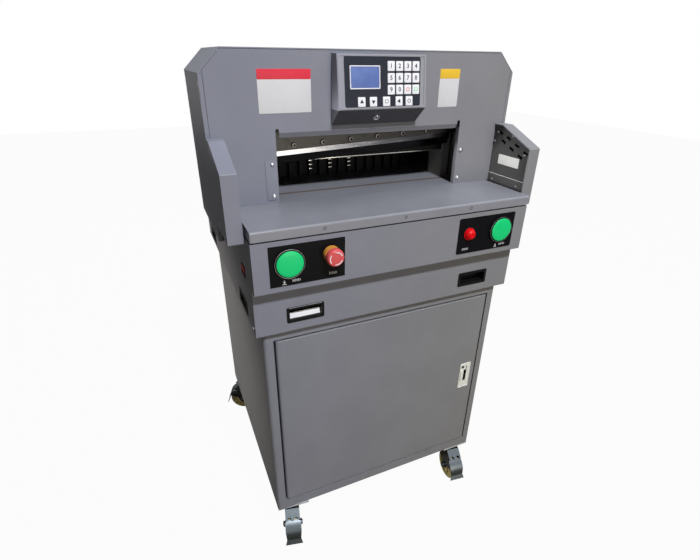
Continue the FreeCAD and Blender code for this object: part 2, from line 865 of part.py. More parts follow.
def wing_outline(offset=0.0):
    top = table_top + wing_top_height - offset
    front = table_top + wing_front_height
    slope_start = head_y - wing_flat_top
    low = table_top - wing_drop + offset
    front_face = wing_y + offset
    return [(head_y, low), (front_face, low), (front_face, front - offset), (slope_start, top), (head_y, top)]


def make_wings():
    shell = prism_yz(wing_outline(), half_wing, half_head)
    cavity = prism_yz(wing_outline(sheet), half_wing, half_head - sheet)
    seat_z = table_top - wing_drop + wing_seat_low
    spots = [vec(half_head, head_y - back, seat_z) for back in wing_seat_places]
    shell = seated(shell.cut(cavity), spots, vec(-1, 0, 0))
    save(shell, "right_wing")
    save(mirrored(shell), "left_wing")
    plate_x = half_wing + wing_plate_recess
    plate_end = plate_x + wing_plate_thickness
    plate = prism_yz(wing_outline(sheet + wing_plate_edge_gap), plate_x, plate_end)
    plate = plate.cut(block(plate_x, plate_end, wing_y, head_y, table_top - wing_drop, table_top))
    slope = (wing_top_height - wing_front_height) / (head_y - wing_flat_top - wing_y)
    half_long = wing_slot_length / 2
    half_tall = wing_slot_height / 2
    for count, drop, start in zip(wing_slot_counts, wing_slot_drops, wing_slot_starts):
        for i in range(count):
            back = start + i * wing_slot_pitch
            z = table_top + wing_top_height - drop - max(0.0, back - wing_flat_top) * slope
            slot = block(plate_x, plate_end, -half_long, half_long, -half_tall, half_tall)
            slot.rotate(vec(0, 0, 0), along_x, math.degrees(math.atan(slope)))
            plate = plate.cut(slot.translated(vec(0, head_y - back, z)))
    save(Part.makeCompound([plate, mirrored(plate)]), "wing_inner_plates")


# Control unit

def make_control_unit():
    x0 = unit_centre - unit_width / 2
    x1 = unit_centre + unit_width / 2
    top = table_top + unit_top_height
    low = table_top + unit_bottom_height
    foot = table_top + unit_foot_height
    profile = [(head_y, foot), (head_y - unit_bottom_depth, low), (head_y - unit_top_depth, top),
               (head_y, top)]
    unit = prism_yz(profile, x0, x1)
    save(unit, "control_unit")
    lean = unit_bottom_depth - unit_top_depth
    tilt = math.atan2(lean, top - low)
    height = math.hypot(lean, top - low) - 2 * unit_face_margin
    plate = block(-unit_face_width / 2, unit_face_width / 2, -unit_face_thickness, 0, 0, height)
    plate = plate.makeFillet(panel_corner, edges_along(plate, inward, lambda p: True))
    plate.rotate(vec(0, 0, 0), along_x, -math.degrees(tilt))
    base_y = head_y - unit_bottom_depth + unit_face_margin * math.sin(tilt)
    base = vec(unit_centre, base_y, low + unit_face_margin * math.cos(tilt))
    save(plate.translated(base), "control_unit_face")


# Casters

front_caster_y = cabinet_y + caster_inset_y
rear_caster_y = cabinet_rear - caster_inset_y
# Name, side, place along Y, swivel angle and the skew of the welded plate
caster_places = [("front_left", -1, front_caster_y, 13.0, -5.0),
                 ("front_right", 1, front_caster_y, 7.0, 0.0),
                 ("rear_left", -1, rear_caster_y, 112.0, 0.0),
                 ("rear_right", 1, rear_caster_y, -120.0, 0.0)]


def make_wheel():
    # Wheel on an axis along X: half of its section, turned round the axis, with round holes in the web.
    half = wheel_width / 2
    dish_radius = wheel_radius - wheel_rim
    bore = axle_radius + axle_clearance
    web = half - wheel_dish
    bend = tread_radius * math.sqrt(0.5)
    start = vec(half, wheel_radius - tread_radius, 0)
    middle = vec(half - tread_radius + bend, wheel_radius - tread_radius + bend, 0)
    end = vec(half - tread_radius, wheel_radius, 0)
    right = [Part.Arc(end, middle, start).toShape()]
    corners = [start, vec(half, dish_radius, 0), vec(web, dish_radius, 0), vec(web, hub_radius, 0),
               vec(hub_width / 2, hub_radius, 0), vec(hub_width / 2, bore, 0), vec(0, bore, 0),
               vec(0, wheel_radius, 0), end]
    for a, b in zip(corners[:-1], corners[1:]):
        right.append(Part.makeLine(a, b))
    section = Part.Face(Part.Wire(Part.__sortEdges__(right)))
    turned = section.revolve(vec(0, 0, 0), along_x, 360)
    wheel = turned.fuse(mirrored(turned)).removeSplitter()
    for i in range(wheel_hole_count):
        angle = 2 * math.pi * i / wheel_hole_count
        y = wheel_hole_circle * math.cos(angle)
        z = wheel_hole_circle * math.sin(angle)
        wheel = wheel.cut(rod(wheel_hole_radius, vec(-web, y, z), 2 * web, along_x))
    return wheel


def ring_sector(inner, outer, low, high, half_length):
    # Part of a tube round the X axis, between two angles in degrees above the -Y direction.
    tube = rod(outer, vec(-half_length, 0, 0), 2 * half_length, along_x)
    tube = tube.cut(rod(inner, vec(-half_length, 0, 0), 2 * half_length, along_x))
    reach = 2 * outer
    corners = [(0, 0)]
    for angle in (low, high):
        corners.append((-reach * math.cos(math.radians(angle)), reach * math.sin(math.radians(angle))))
    return tube.common(prism_yz(corners, -half_length, half_length))


def pedal_outline(half_wide, low_z, high_z):
    # Front view of the brake pedal: round shoulders, a waist and a wider foot.
    waist = half_wide - pedal_waist_inset
    right = [(half_wide - pedal_top_inset, high_z), (half_wide, high_z - pedal_top_inset),
             (half_wide, pedal_shoulder_height), (waist, pedal_waist_height), (waist, low_z)]
    return right + [(-x, z) for x, z in reversed(right)]


def make_pedal(ear_inner):
    # Brake pedal round the front of the wheel: a curved band with a waist, two ears and a flared lip.
    ear_outer = ear_inner + pedal_sheet
    band_inner = wheel_radius + pedal_gap
    band_outer = band_inner + pedal_sheet
    low = math.radians(pedal_low_angle)
    band_top = band_outer * math.sin(math.radians(pedal_high_angle))
    band_low = band_outer * math.sin(low)
    band = ring_sector(band_inner, band_outer, pedal_low_angle, pedal_high_angle, ear_outer)
    outline = pedal_outline(ear_outer, band_low, band_top)
    band = band.common(prism_xz(outline, -2 * band_outer, 0))
    ears = ring_sector(axle_radius, band_outer, pedal_ear_angle, pedal_high_angle, ear_outer)
    ears = ears.common(prism_xz(outline, -2 * band_outer, 0))
    ears = ears.fuse(rod(fork_foot_radius - pedal_sheet, vec(-ear_outer, 0, 0), 2 * ear_outer, along_x))
    reach = 2 * band_outer
    ears = ears.cut(block(-ear_inner, ear_inner, -reach, reach, -reach, reach))
    waist = ear_outer - pedal_waist_inset
    foot = waist + pedal_lip_flare
    lip_loop = [vec(-waist, 0, 0), vec(waist, 0, 0), vec(foot, -pedal_lip, 0), vec(-foot, -pedal_lip, 0)]
    lip = Part.Face(Part.makePolygon(lip_loop + lip_loop[:1])).extrude(vec(0, 0, pedal_sheet))
    lip.rotate(vec(0, 0, 0), along_x, pedal_lip_angle)
    lip.translate(vec(0, -band_inner * math.cos(low), band_low))
    return band.fuse([ears, lip])


def make_fork():
    # Fork whose swivel axis is the Z axis; its wheel lies towards -Y.
    inner = hub_width / 2 + fork_gap
    outer = inner + fork_sheet
    crown_top = caster_height - caster_plate - caster_race_height
    crown_low = crown_top - fork_sheet
    axle = vec(0, -fork_offset, wheel_radius)
    hood_top = axle.y - hood_top_reach
    hood_low = axle.y - hood_low_reach
    hood_z = crown_top - hood_drop
    foot_front = axle.y - fork_foot_radius
    foot_rear = axle.y + fork_foot_radius
    leg = prism_yz([(fork_rear, crown_top), (hood_top, crown_top), (hood_low, hood_z),
                    (foot_front, axle.z), (foot_rear, axle.z), (fork_rear, crown_top - fork_rear_drop)],
                   inner, outer)
    leg = leg.fuse(rod(fork_foot_radius, vec(inner, axle.y, axle.z), fork_sheet, along_x))
    crown = block(-outer, outer, hood_top, fork_rear, crown_low, crown_top)
    hood = prism_yz([(hood_top, crown_top), (hood_low, hood_z), (hood_low + fork_sheet, hood_z),
                     (hood_top + fork_sheet, crown_top)], -outer, outer)
    for side in (-1, 1):
        notch_start = vec(side * hood_notch_offset, hood_low, hood_z)
        hood = hood.cut(rod(hood_notch_radius, notch_start, hood_notch_radius, inward))
    ear_outer = outer + pedal_sheet
    fork = leg.fuse([mirrored(leg), crown, hood, make_pedal(outer).translated(axle)])
    fork = fork.fuse(rod(axle_radius, vec(-ear_outer, axle.y, axle.z), 2 * ear_outer, along_x))
    for side in (-1, 1):
        nut_start = vec(side * ear_outer, axle.y, axle.z)
        fork = fork.fuse(rod(axle_nut_radius, nut_start, axle_nut_height, vec(side, 0, 0)))
    pivot = king_pin_radius + pivot_clearance
    fork = fork.cut(rod(pivot, vec(0, 0, crown_low), fork_sheet, up))
    return fork.removeSplitter()


def make_caster_top():
    # Fixed part of a caster on the swivel axis: plate, race, pin and keeper.
    long = caster_plate_length / 2
    wide = caster_plate_width / 2
    plate_low = caster_height - caster_plate
    race_low = plate_low - caster_race_height + slide_gap
    pin_low = race_low - fork_sheet - king_pin_end
    keeper_height = king_pin_end - 2 * slide_gap
    plate = block(-long, long, -wide, wide, plate_low, caster_height)
    race = rod(caster_race_radius, vec(0, 0, race_low), caster_race_height - slide_gap, up)
    pin = rod(king_pin_radius, vec(0, 0, pin_low), race_low - pin_low, up)
    keeper = rod(king_pin_radius + keeper_width, vec(0, 0, pin_low), keeper_height, up)
    return plate.fuse([race, pin, keeper]).removeSplitter()


def make_casters():
    tops = []
    for name, side, y, turn, skew in caster_places:
        place = vec(side * (half_cabinet - caster_inset_x), y, 0)
        top = make_caster_top()
        top.rotate(vec(0, 0, 0), up, skew)
        tops.append(top.translated(place))
        fork = make_fork()
        fork.rotate(vec(0, 0, 0), up, -turn)
        save(fork.translated(place), "caster_fork_" + name)
        wheel = make_wheel().translated(vec(0, -fork_offset, wheel_radius))
        wheel.rotate(vec(0, 0, 0), up, -turn)
        save(wheel.translated(place), "caster_wheel_" + name)
    save(Part.makeCompound(tops), "caster_plates")


make_cabinet()
make_door()
place_pulls()
make_body()
make_control_box()
make_controls()
make_rocker()
make_table()
make_head()
make_guides()
make_knife()
make_clamp()
make_back_gauge()
make_rear_cover()
make_wings()
make_control_unit()
make_casters()
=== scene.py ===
import bpy
import json
import math
import numpy as np
from mathutils import Matrix, Vector


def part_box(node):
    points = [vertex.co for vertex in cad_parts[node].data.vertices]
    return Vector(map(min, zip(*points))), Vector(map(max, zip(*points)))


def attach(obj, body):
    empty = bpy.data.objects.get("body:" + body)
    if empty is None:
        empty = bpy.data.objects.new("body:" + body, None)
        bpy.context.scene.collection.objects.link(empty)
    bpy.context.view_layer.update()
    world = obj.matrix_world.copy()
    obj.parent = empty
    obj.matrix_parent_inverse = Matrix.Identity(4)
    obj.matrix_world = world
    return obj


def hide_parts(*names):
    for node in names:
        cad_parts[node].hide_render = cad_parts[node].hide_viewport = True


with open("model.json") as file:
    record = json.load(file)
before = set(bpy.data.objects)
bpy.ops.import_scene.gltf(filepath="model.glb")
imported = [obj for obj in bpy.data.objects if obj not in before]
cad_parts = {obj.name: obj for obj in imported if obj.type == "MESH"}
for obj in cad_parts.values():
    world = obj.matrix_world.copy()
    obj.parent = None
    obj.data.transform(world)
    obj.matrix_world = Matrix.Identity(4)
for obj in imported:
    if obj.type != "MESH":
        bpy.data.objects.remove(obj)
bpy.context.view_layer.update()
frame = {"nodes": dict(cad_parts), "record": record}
nodes = frame["nodes"]
joints = frame["record"]["behaviour"]["joints"]


def jointOf(body):
    # The joint that carries a body.
    return [j for j in joints if j["child"] == body][0]


# Planes of the machine that the pieces sit on, read from the frame
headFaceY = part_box("head_front_cover")[0].y
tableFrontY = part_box("front_table")[0].y

# The knife rests raised by a swing about a far centre on its left, and is level at the end of the cut
knifeJoint = jointOf("knife_slide")
swingX = knifeJoint["pos_m"][0]
swingZ = knifeJoint["pos_m"][2]
knifeSlant = math.radians(knifeJoint["range_deg"][1])


# Shader helpers

class Sock:
    # Wraps an output socket, so that an expression on wrapped values adds its Math nodes.
    def __init__(self, maker, out):
        self.maker = maker
        self.out = out

    def calc(self, operation, a, b):
        # One Math node on two values, each a socket or a number.
        return self.maker.add("ShaderNodeMath", {"operation": operation}, {0: a, 1: b})

    def __add__(self, other):
        return self.calc("ADD", self, other)

    def __radd__(self, other):
        return self.calc("ADD", other, self)

    def __sub__(self, other):
        return self.calc("SUBTRACT", self, other)

    def __rsub__(self, other):
        return self.calc("SUBTRACT", other, self)

    def __mul__(self, other):
        return self.calc("MULTIPLY", self, other)

    def __rmul__(self, other):
        return self.calc("MULTIPLY", other, self)


class Finish:
    # One material: a Principled surface whose constants are set directly on its sockets.
    def __init__(self, name, constants):
        self.material = bpy.data.materials.new(name)
        self.material.use_nodes = True
        self.tree = self.material.node_tree
        self.surface = self.tree.nodes["Principled BSDF"]
        for socket, value in constants.items():
            self.surface.inputs[socket].default_value = value
        self.spot = self.add("ShaderNodeTexCoord", {}, {}, "Object")

    def add(self, kind, settings, inputs, output=0):
        # Adds a node of any type: settings first, then each socket's value or link.
        node = self.tree.nodes.new(kind)
        for name, value in settings.items():
            setattr(node, name, value)
        for socket, value in inputs.items():
            if isinstance(value, Sock):
                self.tree.links.new(value.out, node.inputs[socket])
            else:
                node.inputs[socket].default_value = value
        return Sock(self, node.outputs[output])

    def axis(self, index):
        # One of the object coordinates: 0 for x, 1 for y, 2 for z.
        return self.add("ShaderNodeSeparateXYZ", {}, {0: self.spot}, index)

    def noise(self, scale, detail=3.0, rough=0.55, stretch=(1, 1, 1)):
        # Clouds on the object coordinates, which a scale per axis can draw out into lines.
        spot = self.spot
        if stretch != (1, 1, 1):
            spot = self.add("ShaderNodeMapping", {}, {"Vector": self.spot, "Scale": stretch})
        inputs = {"Vector": spot, "Scale": scale, "Detail": detail, "Roughness": rough}
        return self.add("ShaderNodeTexNoise", {}, inputs)

    def band(self, value, low, high):
        # Rises smoothly from 0 at low to 1 at high.
        inputs = {"Value": value, "From Min": low, "From Max": high}
        return self.add("ShaderNodeMapRange", {"interpolation_type": "SMOOTHSTEP"}, inputs)

    def mix(self, factor, a, b):
        # Colour a at factor 0 and colour b at factor 1; 6, 7 and 2 are the colour sockets of the node.
        return self.add("ShaderNodeMix", {"data_type": "RGBA"}, {0: factor, 6: a, 7: b}, 2)

    def bump(self, height, strength, distance):
        # A height turned into a surface normal.
        return self.add("ShaderNodeBump", {}, {"Height": height, "Strength": strength, "Distance": distance})

    def feed(self, socket, value):
        # Links a value to a socket of the Principled surface.
        self.tree.links.new(value.out, self.surface.inputs[socket])


def rgb(red, green, blue):
    # A screen colour of 0 to 255 per channel, turned into linear light.
    values = [c / 255 for c in (red, green, blue)]
    linear = [c / 12.92 if c <= 0.04045 else ((c + 0.055) / 1.055) ** 2.4 for c in values]
    return (*linear, 1.0)


def shade(colour, factor):
    # The colour made lighter or darker by a factor, at most 1 per channel.
    return tuple(min(1.0, c * factor) for c in colour[:3]) + (1.0,)


def paintFinish(name, colour, rough, dust=0.5, paintedShadowBelow=None):
    # Powder paint: a fine orange peel, faint clouds of tone and rubbed patches, with a painted cast of light
    # that is cooler on the left than on the right. Below a given height it is darkened to a third as painted
    # shadow.
    paint = Finish(name, {"Specular IOR Level": 0.09})
    clouds = paint.noise(7.0, 4.0, 0.6)
    smears = paint.noise(26.0, 5.0, 0.65, (1.0, 1.0, 0.35))
    speck = paint.noise(900.0, 2.0, 0.5)
    # The warmer copy of the colour towards the right is a painted cast of light.
    paintedWarmLight = (colour[0] * 1.03, colour[1], colour[2] * 0.88, 1.0)
    side = paint.band(paint.axis(0), -0.35, 0.4)
    body = paint.mix(side, colour, paintedWarmLight)
    light = paint.mix(side, shade(colour, 1.08), shade(paintedWarmLight, 1.08))
    tone = paint.mix(paint.band(clouds, 0.3, 0.75), body, light)
    tone = paint.mix(paint.band(smears, 0.58, 0.8) * (0.22 * dust), tone, shade(colour, 1.5))
    tone = paint.mix(paint.band(speck, 0.66, 0.8) * 0.2, tone, shade(colour, 0.6))
    # Painted shadow: below the height the colour falls to a third, as the control unit's own shadow.
    if paintedShadowBelow:
        above = paint.band(paint.axis(2), paintedShadowBelow - 0.0006, paintedShadowBelow)
        tone = paint.mix(above, shade(colour, 0.3), tone)
    paint.feed("Base Color", tone)
    paint.feed("Roughness", rough + (clouds - 0.5) * 0.12 + (smears - 0.5) * 0.14)
    peel = paint.noise(2600.0, 2.0, 0.5)
    paint.feed("Normal", paint.bump(peel, 0.22, 0.0004))
    return paint.material


def plasticFinish(name, colour, rough, grain=0.25, shine=0.3, mottle=0.06):
    # Moulded plastic: a fine spark-eroded grain and slight finger shine.
    plastic = Finish(name, {"Specular IOR Level": shine})
    cloud = plastic.noise(60.0, 4.0, 0.6)
    pits = plastic.noise(3500.0, 2.0, 0.5)
    tone = plastic.mix(plastic.band(cloud, 0.35, 0.75), shade(colour, 1 - mottle), shade(colour, 1 + mottle))
    plastic.feed("Base Color", tone)
    plastic.feed("Roughness", rough + (cloud - 0.5) * 0.16)
    plastic.feed("Normal", plastic.bump(pits, grain, 0.0002))
    return plastic.material


def metalFinish(name, colour, rough, stretch=(1, 1, 1), lines=0.15, stain=0.3,
                stainColour=(0.12, 0.10, 0.07, 1.0)):
    # Worked metal: fine lines along one direction, with stains that dull it in places.
    metal = Finish(name, {"Metallic": 1.0})
    lineField = metal.noise(420.0, 3.0, 0.6, stretch)
    spots = metal.noise(38.0, 5.0, 0.68)
    dull = metal.band(spots, 0.55, 0.78) * stain
    tone = metal.mix(metal.band(lineField, 0.3, 0.7), shade(colour, 0.86), shade(colour, 1.1))
    metal.feed("Base Color", metal.mix(dull, tone, stainColour))
    metal.feed("Roughness", rough + dull * 0.35 + (lineField - 0.5) * 0.18)
    metal.feed("Normal", metal.bump(lineField, lines, 0.0003))
    return metal.material


def tablePaint():
    # Smooth grey lacquer on the table, scuffed along the way the paper slides.
    lacquer = Finish("tablePaint", {"Specular IOR Level": 0.3})
    colour = rgb(140, 141, 150)
    clouds = lacquer.noise(9.0, 4.0, 0.6)
    scuffs = lacquer.noise(60.0, 4.0, 0.7, (6.0, 0.5, 1.0))
    tone = lacquer.mix(lacquer.band(clouds, 0.3, 0.75), shade(colour, 0.94), shade(colour, 1.05))
    tone = lacquer.mix(lacquer.band(scuffs, 0.62, 0.8) * 0.18, tone, shade(colour, 1.4))
    lacquer.feed("Base Color", tone)
    lacquer.feed("Roughness", 0.34 + (scuffs - 0.5) * 0.12 + (clouds - 0.5) * 0.1)
    lacquer.feed("Normal", lacquer.bump(lacquer.noise(2400.0, 2.0, 0.5), 0.12, 0.0003))
    return lacquer.material


bladeSet = {
    "edgeZ": 1.1165,            # the cutting edge at x 0, at rest
    "bevel": (0.0196, 0.0204),  # heights over the edge where the bevel turns into the strip
    "land": (0.0010, 0.0018),   # heights where the dark land at the edge ends
    "paintedShadeSpan": (-0.06, 0.20),      # places along x between which the strip is darkened as painted shade
}


def bladeFinish():
    # Knife steel: a bright ground strip above, and below it the polished bevel, whose dark colour is a
    # painted reflection of the dark throat. The height over the cutting edge is z less the edge's own height,
    # which rises along x.
    blade = Finish("bladeSteel", {"Metallic": 1.0})
    lines = blade.noise(420.0, 3.0, 0.6, (0.03, 1, 1))
    spots = blade.noise(30.0, 5.0, 0.65)
    x = blade.axis(0)
    height = blade.axis(2) - x * math.tan(knifeSlant) - bladeSet["edgeZ"]
    strip = blade.mix(blade.band(lines, 0.3, 0.7), rgb(138, 140, 150), rgb(166, 168, 178))
    strip = blade.mix(blade.band(spots, 0.55, 0.75) * 0.25, strip, rgb(120, 116, 112))
    # Painted shade: towards the right the strip is darkened.
    strip = blade.mix(blade.band(x, *bladeSet["paintedShadeSpan"]) * 0.75, strip, rgb(70, 70, 72))
    # Painted reflection: the bevel is coloured dark as if it mirrored the throat.
    bevel = blade.mix(blade.band(lines, 0.3, 0.7), rgb(40, 39, 38), rgb(60, 58, 56))
    tone = blade.mix(blade.band(height, *bladeSet["bevel"]), bevel, strip)
    tone = blade.mix(blade.band(height, *bladeSet["land"]), rgb(22, 21, 20), tone)
    blade.feed("Base Color", tone)
    blade.feed("Roughness", 0.24 + (lines - 0.5) * 0.16 + (spots - 0.5) * 0.12)
    blade.feed("Normal", blade.bump(lines, 0.1, 0.0003))
    return blade.material


def nylonFinish():
    # Worn nylon wheel: yellowed, with floor dirt pressed into the tread.
    nylon = Finish("nylonFinish", {"Specular IOR Level": 0.4})
    dirt = nylon.noise(70.0, 6.0, 0.7)
    flecks = nylon.noise(420.0, 4.0, 0.6)
    tone = nylon.mix(nylon.band(dirt, 0.35, 0.7), rgb(232, 220, 172), rgb(208, 192, 138))
    tone = nylon.mix(nylon.band(flecks, 0.58, 0.75) * 0.4, tone, rgb(118, 106, 74))
    nylon.feed("Base Color", tone)
    nylon.feed("Roughness", 0.48 + (dirt - 0.5) * 0.2)
    nylon.feed("Normal", nylon.bump(flecks, 0.25, 0.0006))
    return nylon.material


def lensFinish(name, colour, glow):
    # Coloured lens: a clear coat over a faintly clouded diffuser, with a faint glow that is painted light.
    lens = Finish(name, {"Specular IOR Level": 0.2, "Coat Weight": 0.06, "Coat Roughness": 0.08,
                         "Emission Strength": glow})
    cloud = lens.noise(90.0, 3.0, 0.5)
    tone = lens.mix(lens.band(cloud, 0.3, 0.7), shade(colour, 0.99), shade(colour, 1.01))
    lens.feed("Base Color", tone)
    lens.feed("Emission Color", tone)
    lens.feed("Roughness", 0.30 + (cloud - 0.5) * 0.04)
    return lens.material


def screenFinish():
    # Liquid crystal display: a clouded blue backlight under fine cells.
    screen = Finish("screenFinish", {"Specular IOR Level": 0.2, "Emission Strength": 0.25})
    cells = screen.noise(700.0, 1.0, 0.4)
    cloud = screen.noise(24.0, 2.0, 0.5)
    tone = screen.mix(screen.band(cloud, 0.3, 0.7), rgb(84, 102, 156), rgb(98, 116, 168))
    tone = screen.mix(screen.band(cells, 0.4, 0.7) * 0.12, tone, rgb(70, 90, 150))
    screen.feed("Base Color", tone)
    screen.feed("Emission Color", tone)
    screen.feed("Roughness", 0.22 + (cloud - 0.5) * 0.08)
    return screen.material


finishes = {
    "machine": paintFinish("machinePaint", rgb(134, 136, 149), 0.5),
    "cabinet": paintFinish("cabinetPaint", rgb(134, 136, 147), 0.52),
    "table": tablePaint(),
    "innerPlate": paintFinish("innerPlatePaint", rgb(78, 79, 84), 0.5, 0.3),
    # Pale paint for the painted highlights along bends and lips.
    "bendHighlight": paintFinish("bendShine", rgb(186, 188, 198), 0.4, 0.3),
    "darkSteel": metalFinish("darkSteel", rgb(66, 65, 65), 0.42, (0.05, 1, 1), 0.12, 0.5, rgb(34, 33, 32)),
    "interior": metalFinish("interiorSteel", rgb(38, 38, 40), 0.55, (1, 1, 0.1), 0.12, 0.5, rgb(24, 22, 20)),
    "nearBlack": plasticFinish("nearBlackSteel", rgb(14, 14, 15), 0.5, 0.12, shine=0.15),
    "guide": paintFinish("guideSteel", rgb(138, 137, 136), 0.36, 1.0),
    "blade": bladeFinish(),
    "bright": metalFinish("brightSteel", rgb(214, 210, 204), 0.22, (0.03, 1, 1), 0.08, 0.2,
                          rgb(120, 108, 92)),
    "stick": plasticFinish("stickPlastic", rgb(112, 98, 94), 0.5),
    "blackPlastic": plasticFinish("blackPlastic", rgb(20, 20, 22), 0.46, shine=0.14),
    "panelFilm": plasticFinish("panelFilm", rgb(15, 15, 19), 0.4, 0.12, shine=0.08),
    "unitFilm": plasticFinish("unitFilm", rgb(44, 46, 56), 0.4, 0.12, shine=0.14),
    # The shell's slanted underside is darkened as painted shadow.
    "unitShell": paintFinish("unitShell", rgb(150, 152, 165), 0.36, 0.3, paintedShadowBelow=1.2356),
    # The last number of each lens is a glow of painted light that brightens it.
    "green": lensFinish("greenLens", rgb(26, 205, 122), 0.10),
    "red": lensFinish("redLens", rgb(224, 10, 22), 0.05),
    # The stop button's pink red is its own red with a painted highlight mixed in.
    "stopRed": lensFinish("stopRed", rgb(218, 88, 92), 0.02),
    "plateZinc": paintFinish("plateZinc", rgb(196, 200, 208), 0.35, 0.6),
    "zinc": metalFinish("zincSteel", rgb(98, 105, 110), 0.30, (1, 1, 1), 0.2, 0.5, rgb(62, 58, 48)),
    "screw": metalFinish("screwSteel", rgb(178, 180, 182), 0.32, (1, 1, 1), 0.1, 0.3, rgb(110, 104, 92)),
    "oxide": metalFinish("oxideSteel", rgb(112, 110, 108), 0.34, (1, 1, 1), 0.1, 0.3, rgb(60, 56, 52)),
    # Dark olive strip that stands for the shade in the latch's slot.
    "slotShade": plasticFinish("paintedSlotShade", rgb(108, 104, 84), 0.5),
    # Pale matt colour for the foil plates, their bright reflection painted in, and for the painted highlight
    # on the flange edges.
    "foilSheen": plasticFinish("paintedFoilSheen", rgb(226, 226, 222), 0.4, 0.1, mottle=0.04),
    "chrome": metalFinish("chromeSteel", rgb(222, 222, 224), 0.14, (1, 1, 1), 0.05, 0.1),
    "nylon": nylonFinish(),
    "latch": plasticFinish("latchEnamel", rgb(242, 242, 236), 0.36, 0.15, mottle=0.015),
    "label": plasticFinish("labelFilm", rgb(214, 214, 218), 0.44, 0.08, mottle=0.015),
    "labelRed": plasticFinish("labelRed", rgb(222, 52, 72), 0.44, 0.08, mottle=0.02),
    "labelYellow": plasticFinish("labelYellow", rgb(236, 192, 58), 0.44, 0.08, mottle=0.02),
    "yellow": plasticFinish("collarYellow", rgb(224, 156, 66), 0.4, 0.2, mottle=0.03),
    "keys": plasticFinish("keyWhite", rgb(238, 238, 244), 0.38, 0.1, mottle=0.01),
    "ink": plasticFinish("keyInk", rgb(40, 40, 54), 0.5, 0.1, shine=0.1),
    "screen": screenFinish(),
}
print("finishes made:", len(finishes))

nodeFinish = {
    "cabinet": "cabinet",
    "caster_wheel": "nylon",
    "caster": "zinc",
    "caster_plates": "plateZinc",
    "knife_carrier": "darkSteel",
    "knife_guides": "guide",
    "knife": "blade",
    "top_crossbeam": "interior",
    "clamp_beam": "nearBlack",
    "back_gauge": "nearBlack",
    "wing_inner_plates": "innerPlate",
    "cutting_stick": "stick",
    "green_button": "green",
    "estop_button": "stopRed",
    "pilot_lamp": "red",
    "rocker_switch": "red",
    "control_overlays": "panelFilm",
    "control_unit_face": "unitFilm",
    "control_unit": "unitShell",
    "button_bezels": "blackPlastic",
    "front_pull_handles": "blackPlastic",
    "side_pull_handles": "blackPlastic",
    "door_latch": "latch",
    "front_table": "table",
    "bed": "table",
}


def dressNodes():
    # Each node takes the finish of the longest key that starts its name, or else the machine's paint.
    for name, piece in nodes.items():
        keys = [k for k in nodeFinish if name.startswith(k)]
        finish = finishes[nodeFinish[max(keys, key=len)]] if keys else finishes["machine"]
        piece.data.materials.clear()
        piece.data.materials.append(finish)


dressNodes()
print("nodes dressed")


# Camera, floor and light

cameraSet = {
    "eyeX": -0.5004,
    "eyeBeforeHead": 0.9889,
    "eyeZ": 1.3419,
    "yaw": 0.418,
    "pitch": -0.469,
    "roll": 0.013,
    "lens": 22.72,
    "sensor": 36.0,
}


def makeCamera():
    # The view's direction from yaw and pitch, and its own right and upward turned by the roll.
    yaw = cameraSet["yaw"]
    pitch = cameraSet["pitch"]
    roll = cameraSet["roll"]
    ahead = Vector((math.sin(yaw) * math.cos(pitch), math.cos(yaw) * math.cos(pitch), math.sin(pitch)))
    flatRight = Vector((math.cos(yaw), -math.sin(yaw), 0))
    flatUp = flatRight.cross(ahead)
    right = flatRight * math.cos(roll) + flatUp * math.sin(roll)
    upward = flatUp * math.cos(roll) - flatRight * math.sin(roll)
    data = bpy.data.cameras.new("camera")
    data.lens = cameraSet["lens"]
    data.sensor_width = cameraSet["sensor"]
    data.clip_end = 60
    camera = bpy.data.objects.new("camera", data)
    bpy.context.collection.objects.link(camera)
    eye = (cameraSet["eyeX"], headFaceY - cameraSet["eyeBeforeHead"], cameraSet["eyeZ"])
    turn = Matrix((right, upward, -ahead)).transposed()
    camera.matrix_world = Matrix.Translation(eye) @ turn.to_4x4()
    bpy.context.scene.camera = camera


lampSet = {
    # name: place, aimed at, width, height, watts, colour
    "ceilingKey": ((0.0, -2.6, 3.8), (0.0, -0.2, 0.8), 0.32, 0.26, 118, (0.95, 0.97, 1.0)),
    "frontFill": ((0.45, -3.1, 0.70), (0.05, -0.1, 0.6), 0.9, 1.2, 18, (1.0, 0.92, 0.76)),
    "topSoftbox": ((1.2, -0.3, 3.1), (0.1, 0.0, 0.8), 1.2, 1.2, 17, (0.96, 0.98, 1.0)),
    "rearFill": ((1.4, 3.0, 1.6), (0.0, 0.2, 0.8), 2.2, 1.8, 34, (1.0, 1.0, 1.0)),
}
spotSet = {
    # name: place, aimed at, cone in degrees, watts, colour
    # The first lights the cabinet's left side, the second the right wing's inner side
    "sideGlow": ((-2.20, 1.10, 0.45), (-0.338, 0.25, 0.45), 34, 85, (1.0, 0.93, 0.74)),
    "wingGlow": ((-1.20, -0.27, 1.43), (0.36, -0.26, 1.085), 10, 60, (1.0, 0.98, 0.96)),
}
roomLight = 0.024


def hangLamp(name, kind, place, aim, watts, colour):
    # A lamp at its place, turned so that it shines along the line to its aim.
    data = bpy.data.lights.new(name, kind)
    data.energy = watts
    data.color = colour
    lamp = bpy.data.objects.new(name, data)
    bpy.context.collection.objects.link(lamp)
    lamp.location = place
    lamp.rotation_euler = (Vector(aim) - Vector(place)).to_track_quat("-Z", "Y").to_euler()
    return data


def makeLamps():
    # Rectangular lamps first, then the soft spots with their cones.
    for name, (place, aim, width, height, watts, colour) in lampSet.items():
        data = hangLamp(name, "AREA", place, aim, watts, colour)
        data.shape = "RECTANGLE"
        data.size = width
        data.size_y = height
    for name, (place, aim, cone, watts, colour) in spotSet.items():
        data = hangLamp(name, "SPOT", place, aim, watts, colour)
        data.spot_size = math.radians(cone)
        data.spot_blend = 1.0
        data.shadow_soft_size = 0.05


